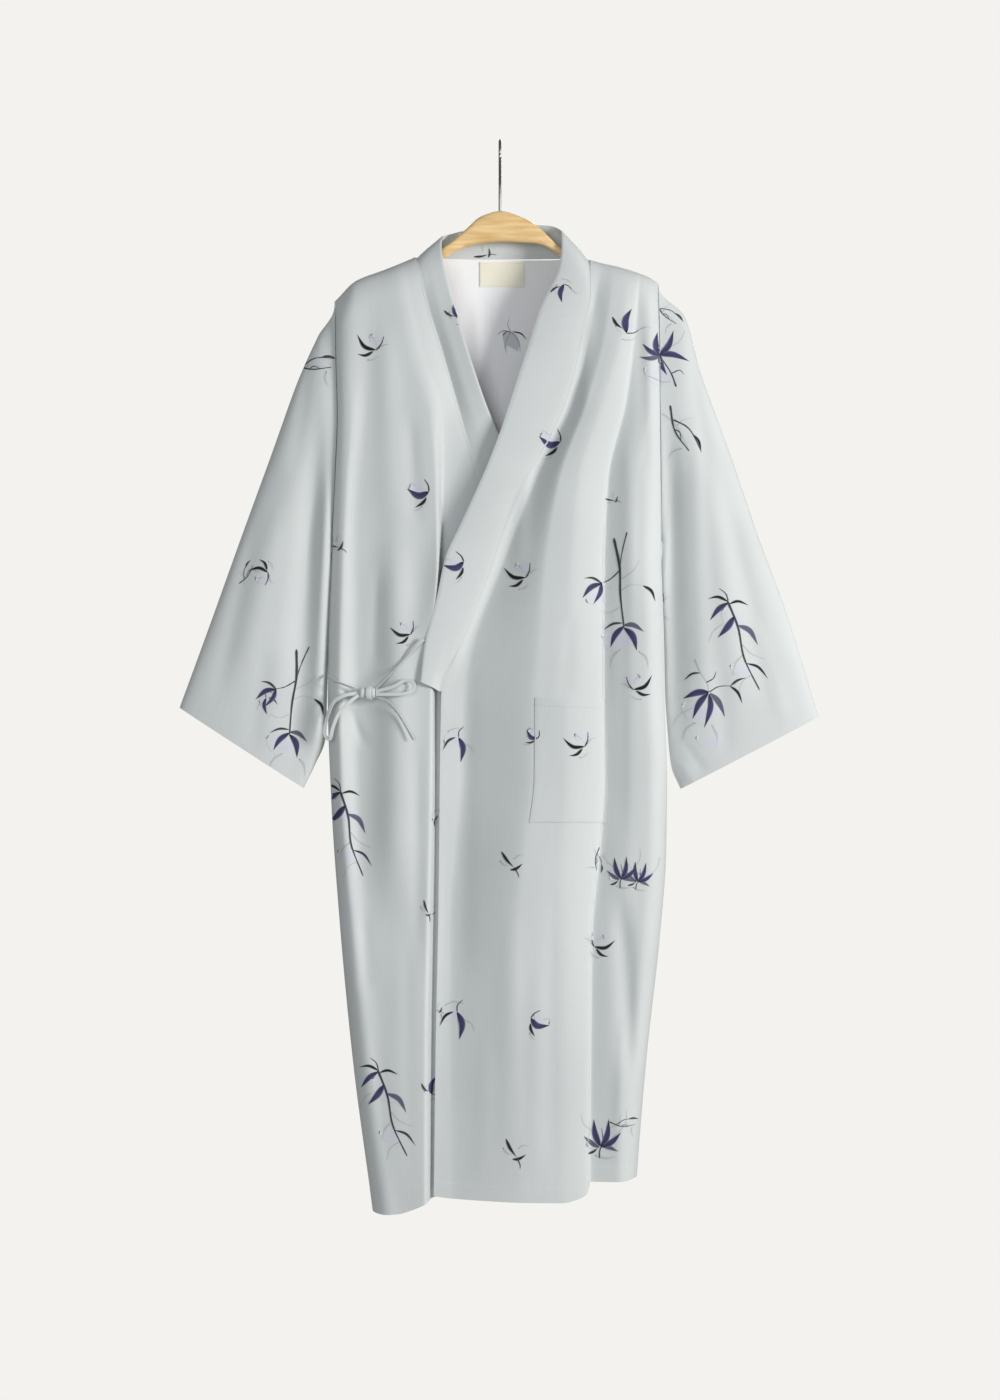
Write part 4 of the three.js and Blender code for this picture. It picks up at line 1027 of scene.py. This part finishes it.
FRONT_PRINT = [  # pieces; x, z of the motif; its name, turn, size; -1 mirrored
    ("FR", -155, -244, "wings", -14, 1.0, 1), ("FR", -97, -422, "sprig", 0, 0.95, 1),
    ("CB FL", -54, -509, "sprig", 18, 0.9, 1), ("FR", -115, -587, "wings", 6, 0.9, 1),
    ("FL CB", 22, -518, "wings", 0, 1.0, 1), ("FL CB", 60, -361, "sprig", -6, 0.95, 1),
    ("CB", -53, -206, "pair", 30, 0.75, 1), ("CB", 73, -182, "pair", 150, 0.7, -1),
    ("SR FR", -286, -518, "wings", 150, 0.85, -1), ("FR", -198, -484, "dart", 30, 0.8, 1),
    ("BK", 13, -235, "ghost", 0, 0.9, 1), ("CB", -20, -132, "dart", 60, 0.7, 1), ("PK", 92, -720, "wings", 4, 0.95, 1),
    ("FL PK", 38, -712, "sprig", -30, 0.6, 1), ("FL", 13, -862, "dart", 0, 0.95, 1),
    ("FL", 46, -1054, "sprig", -30, 0.85, -1), ("FL", 17, -1206, "dart", -8, 1.0, 1),
    ("FL", 121, -960, "wings", -8, 0.9, -1), ("FR", -86, -919, "dart", -20, 0.7, 1),
    ("FL", 166, -650, "wings", 12, 0.95, -1), ("FL", 150, -220, "pair", 12, 0.95, 1),
    ("SR FR", -218, -271, "twigs", 60, 0.8, 1), ("FL SL", 191, -257, "star", 0, 1.0, 1),
    ("SL", 202, -211, "twigs", 20, 0.6, 1), ("SL", 217, -355, "twigs", 0, 0.95, 1),
    ("FL", 139, -564, "stalk", -3, 0.95, 1), ("SR", -257, -691, "stalk", -14, 0.9, 1),
    ("SR", -277, -674, "drip", 12, 0.6, -1), ("FR", -186, -790, "droop", -2, 0.86, 1),
    ("FL", -52, -725, "drip", -4, 0.9, 1), ("SL", 278, -564, "droop", 3, 0.92, 1),
    ("SL", 250, -662, "fan", -4, 0.92, 1), ("FL", 144, -883, "crown", 4, 0.8, 1),
    ("FL", 164, -886, "crown", -6, 0.72, 1), ("FL", -54, -1054, "drip", -4, 1.0, 1),
    ("FL", -76, -1039, "dart", 30, 0.5, 1), ("FR", -140, -1123, "droop", 2, 0.88, 1),
    ("FR", -82, -1132, "pair", 10, 0.7, 1), ("FL", 120, -1202, "crown", 2, 1.0, 1),
    ("FL", 151, -1176, "twigs", 60, 0.5, 1), ("FL", 134, -430, "dart", 40, 0.5, 1),
    ("FL", 115, -864, "twigs", -30, 0.45, 1), ("SL", 192, -562, "twigs", 10, 0.5, -1),
    ("SR", -300, -516, "twigs", 120, 0.45, 1), ("FR", -70, -814, "drip", 20, 0.6, 1),
]
BACK_PRINT = [
    ("BK", -96, -226, "sprig", 10, 1.0, 1), ("BK", 72, -268, "wings", -10, 1.0, -1),
    ("BK", -12, -370, "dart", 20, 1.0, 1), ("BK", -150, -406, "droop", 0, 0.9, -1),
    ("BK", 120, -454, "stalk", 6, 0.9, 1), ("BK", -60, -550, "wings", 14, 1.0, 1),
    ("BK", 48, -646, "sprig", -20, 0.95, -1), ("BK", -138, -694, "fan", -10, 0.95, 1),
    ("BK", 144, -742, "pair", 10, 0.95, 1), ("BK", -36, -814, "stalk", -12, 0.9, -1),
    ("BK", 72, -910, "dart", 0, 1.0, 1), ("BK", -138, -946, "sprig", 24, 0.9, 1),
    ("BK", 132, -1042, "droop", 4, 0.9, 1), ("BK", -60, -1090, "wings", -8, 0.95, 1),
    ("BK", 24, -1186, "fan", 8, 0.9, -1), ("BK", -126, -1210, "dart", 12, 0.9, -1),
    ("SR", -276, -454, "sprig", 30, 0.9, 1), ("SR", -300, -598, "droop", 14, 0.8, -1),
    ("SR", -228, -346, "dart", 20, 0.9, 1), ("SL", 240, -346, "wings", -20, 0.9, 1),
    ("SL", 282, -502, "fan", -16, 0.9, 1), ("SL", 312, -646, "stalk", -10, 0.75, 1),
    ("BK SL", 186, -310, "twigs", 0, 0.9, 1), ("BK SR", -198, -550, "twigs", 20, 0.9, -1),
]
DYES = {  # colour, how far it lies on the cloth in mm: indigo, ink, slate, grey, haze
    "I": ((0.052, 0.048, 0.125), 0.44),
    "K": ((0.008, 0.008, 0.014), 0.38),
    "S": ((0.110, 0.110, 0.165), 0.35),
    "G": ((0.25, 0.25, 0.30), 0.32),
    "H": ((0.56, 0.53, 0.76), 0.26),
}


def dyed_material():
    """The printed silk again, its colour taken over by the dye where there is some."""
    m = silk.copy()
    m.name = "silk_dyed"
    n, l = m.node_tree.nodes, m.node_tree.links
    shade = n["Principled BSDF"]
    ground = shade.inputs["Base Color"].links[0].from_socket
    dye, over = nodes(n, "VertexColor", "Mix")
    dye.layer_name, over.data_type = "dye", "RGBA"
    l.new(ground, over.inputs[6])
    join(l, (dye, "Alpha", over, 0), (dye, "Color", over, 7), (over, 2, shade, "Base Color"))
    for socket, plain, full in (("Sheen Weight", SHEEN, 0.02), ("Specular IOR Level", GLOSS, 0.12)):
        less, = nodes(n, "MapRange")
        put(less, To_Min=plain, To_Max=full)
        join(l, (dye, "Alpha", less, "Value"), (less, 0, shade, socket))
    return m


dyed = dyed_material()


def stroke(leaf, width, points):
    """A brush stroke as a strip: rows of places across it, how far along and how far across."""
    p = np.array(points, float)
    long = float(np.linalg.norm(np.diff(p, axis=0), axis=1).sum())
    count = int(max(9, long / 1.7))
    line = smooth_path([(x, 0, z) for x, z in points], count)[:, [0, 2]]
    way = np.gradient(line, axis=0)
    way /= np.linalg.norm(way, axis=1, keepdims=True)
    aside = np.stack([-way[:, 1], way[:, 0]], axis=1)
    t = np.linspace(0, 1, count)
    if leaf:
        w = np.sin(np.pi * t ** 0.74) ** 1.15
    else:
        w = (1 - 0.6 * t) * np.minimum(1, 0.35 + np.minimum(t, 1 - t) / 0.05)
        w = w * (1.3 + 0.13 * np.sin(t * 19 + width))
    cells = int(np.clip(round(width / 1.3), 2, 10))
    s = np.linspace(-1, 1, cells + 1)
    places = line[:, None, :] + aside[:, None, :] * (w[:, None] * s[None, :])[:, :, None] * width / 2
    return places, t[:, None] + 0 * s[None, :], s[None, :] + 0 * t[:, None]


def printed(name, target, rows, side):
    """One piece's share of the print, laid on it along the line of sight."""
    body = target.data
    tree = BVHTree.FromPolygons([v.co for v in body.vertices], [tuple(p.vertices) for p in body.polygons])
    points, colours, faces = [], [], []
    look = Vector((0, side, 0))
    for pieces, x, z, motif, turn, size, flip in rows:
        if target.name not in [PRINTED[code] for code in pieces.split()]:
            continue
        c, s = math.cos(math.radians(turn)), math.sin(math.radians(turn))
        for code, width, *line in MOTIFS[motif]:
            dye = code.upper()
            rgb, lift = DYES[dye]
            places, t, across = stroke(
                code == dye, width * size, [(px * size * flip, pz * size) for px, pz in zip(line[::2], line[1::2])])
            if dye == "H":
                full = 0.36 * (1 - across ** 2) ** 1.5 * np.sin(np.pi * t) ** 1.2
            elif dye == "G":
                full = 0.62 * (1 - 0.75 * across ** 2) * (1 - 0.55 * t)
            else:
                full = 1 - 0.25 * np.abs(across) ** 6
            index = np.full(places.shape[:2], -1)
            for i in range(places.shape[0]):
                for j in range(places.shape[1]):
                    px, pz = places[i, j]
                    start = Vector(((x + px * c - pz * s) / 1000, -0.5 * side, (z + px * s + pz * c) / 1000))
                    hit, normal, _, _ = tree.ray_cast(start, look)
                    if hit is None or abs(normal.y) < 0.18:
                        continue
                    spot = hit + normal * ((lift if normal.dot(look) < 0 else -lift) / 1000)
                    index[i, j] = len(points)
                    points.append(spot * 1000)
                    tint = np.array(rgb)
                    if dye == "I":
                        tint = tint * (0.30 + 0.70 * math.sin(math.pi * t[i, j]) ** 0.7) * (1 + 0.25 * across[i, j])
                    colours.append((*tint, float(full[i, j])))
            for i in range(index.shape[0] - 1):
                for j in range(index.shape[1] - 1):
                    f = [index[i, j], index[i + 1, j], index[i + 1, j + 1], index[i, j + 1]]
                    if min(f) < 0 or max(abs(points[f[a]][1] - points[f[a - 1]][1]) for a in range(4)) > 4:
                        continue
                    a, b, d = points[f[0]], points[f[1]], points[f[3]]
                    faces.append(f if (b - a).cross(d - a).dot(look) < 0 else f[::-1])
    if not faces:
        return
    used = sorted({i for f in faces for i in f})
    again = {old: new for new, old in enumerate(used)}
    uv = [(points[i][0], points[i][2]) for i in used]
    faces = [[again[i] for i in f] for f in faces]
    piece = make_mesh(name, [tuple(points[i]) for i in used], faces, uv=uv, material=dyed, sharp=0)
    layer = piece.data.color_attributes.new("dye", "FLOAT_COLOR", "POINT")
    layer.data.foreach_set("color", np.array([colours[i] for i in used], np.float32).ravel())
    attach(piece, "root")


for target in (bpy.data.objects[piece] for piece in PRINTED.values()):
    printed(target.name.replace("silk_", "print_"), target, FRONT_PRINT, 1)
    printed(target.name.replace("silk_", "print_behind_"), target, BACK_PRINT, -1)

# ---------------------------------------------------------------------------
# The stitching: silk thread in single stitches laid along lines on the cloth,
# close round the pocket and the label, wide apart in the hand-sewn hems.
# ---------------------------------------------------------------------------
thread, n, l, shade = painted("silk_thread")
put(shade, Base_Color=(0.66, 0.69, 0.69, 1), Roughness=0.5)


def stitch_tree():
    """Geometry nodes: lines of edges -> even points -> a short thread along each."""
    g = bpy.data.node_groups.new("stitch_rows", "GeometryNodeTree")
    sockets = {}
    for socket, kind in (("Geometry", "NodeSocketGeometry"), ("Pitch", "NodeSocketFloat"), ("Long", "NodeSocketFloat"),
                         ("Thick", "NodeSocketFloat")):
        sockets[socket] = g.interface.new_socket(socket, in_out="INPUT", socket_type=kind).identifier
    g.interface.new_socket("Geometry", in_out="OUTPUT", socket_type="NodeSocketGeometry")
    given, result, curve, even, along, turn, one, place, vary, real, paint = (g.nodes.new(kind) for kind in (
        "NodeGroupInput", "NodeGroupOutput", "GeometryNodeMeshToCurve", "GeometryNodeResampleCurve",
        "GeometryNodeInputTangent", "FunctionNodeAlignRotationToVector", "GeometryNodeMeshCylinder",
        "GeometryNodeInstanceOnPoints", "FunctionNodeRandomValue", "GeometryNodeRealizeInstances",
        "GeometryNodeSetMaterial"))
    even.mode, turn.axis, vary.data_type = "LENGTH", "Z", "FLOAT"
    vary.inputs[2].default_value, vary.inputs[3].default_value = 0.86, 1.10
    put(one, Vertices=6)
    put(vary, Seed=7)
    put(paint, Material=thread)
    join(g.links, (given, "Geometry", curve, "Mesh"), (curve, "Curve", even, "Curve"), (given, "Pitch", even, "Length"),
         (along, "Tangent", turn, "Vector"), (given, "Long", one, "Depth"), (given, "Thick", one, "Radius"),
         (even, "Curve", place, "Points"), (one, "Mesh", place, "Instance"), (turn, "Rotation", place, "Rotation"),
         (vary, 1, place, "Scale"), (place, "Instances", real, "Geometry"), (real, "Geometry", paint, "Geometry"),
         (paint, "Geometry", result, "Geometry"))
    return g, sockets


stitch_rows, stitch_inputs = stitch_tree()


def inset(skin, line, beside, far):
    """A line on the printed side of a piece, a little in from one of its grid lines."""
    front_, n_ = skins[skin]
    a, b = front_[line], front_[beside]
    gap = np.linalg.norm(b - a, axis=1, keepdims=True)
    return a + (b - a) * np.minimum(far / gap, 1) + n_[line] * 0.07


def stitched(name, lines, pitch, long, thick):
    """Thread along lines on the cloth, all in mm."""
    points, edges = [], []
    for line in lines:
        edges += [(len(points) + k, len(points) + k + 1) for k in range(len(line) - 1)]
        points += (line / 1000).tolist()
    mesh = bpy.data.meshes.new(name)
    mesh.from_pydata(points, edges, [])
    piece = bpy.data.objects.new(name, mesh)
    scene.collection.objects.link(piece)
    laid = piece.modifiers.new("rows", "NODES")
    laid.node_group = stitch_rows
    for socket, value in (("Pitch", pitch), ("Long", long), ("Thick", thick)):
        laid[stitch_inputs[socket]] = value / 1000
    view = bpy.context.evaluated_depsgraph_get()
    done = bpy.data.meshes.new_from_object(piece.evaluated_get(view))
    piece.modifiers.clear()
    piece.data = done
    done.polygons.foreach_set("use_smooth", [True] * len(done.polygons))
    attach(piece, "root")


ALL = slice(None)
top_hem = int(np.argmin(np.abs(down - 0.064)))
stitched("stitches_pocket", [
    inset("silk_pocket", (0, ALL), (1, ALL), 1.8), inset("silk_pocket", (-1, ALL), (-2, ALL), 1.8),
    inset("silk_pocket", (ALL, -1), (ALL, -2), 1.6),
    inset("silk_pocket", (ALL, top_hem), (ALL, top_hem - 1), 0.8)], 3.0, 2.1, 0.13)
hem_rows = [(name, int(np.searchsorted(rows, 1 - 18.7 / long)) + 1) for name, rows, long in (
    ("silk_front_right", front_rows, FRONT_LONG), ("silk_front_left", front_rows, FRONT_LONG),
    ("silk_back", v_back, BACK_LONG))]
stitched("stitches_hems", [inset(name, (ALL, j), (ALL, j + 1), 0.5) for name, j in hem_rows], 7.5, 2.0, 0.12)
cuff = int(np.argmin(np.abs(ring - (1 - 0.0515))))
round_cuffs = [inset(name, (ALL, cuff), (ALL, cuff + 1), 0.2) for name in sleeve_grids]
stitched("stitches_cuffs", [np.concatenate([line, line[:1]]) for line in round_cuffs], 7.0, 2.0, 0.12)
stitched("stitches_label", [
    inset("woven_label", (0, ALL), (1, ALL), 1.2), inset("woven_label", (-1, ALL), (-2, ALL), 1.2),
    inset("woven_label", (ALL, 0), (ALL, 1), 1.2), inset("woven_label", (ALL, -1), (ALL, -2), 1.2)], 2.4, 1.6, 0.11)
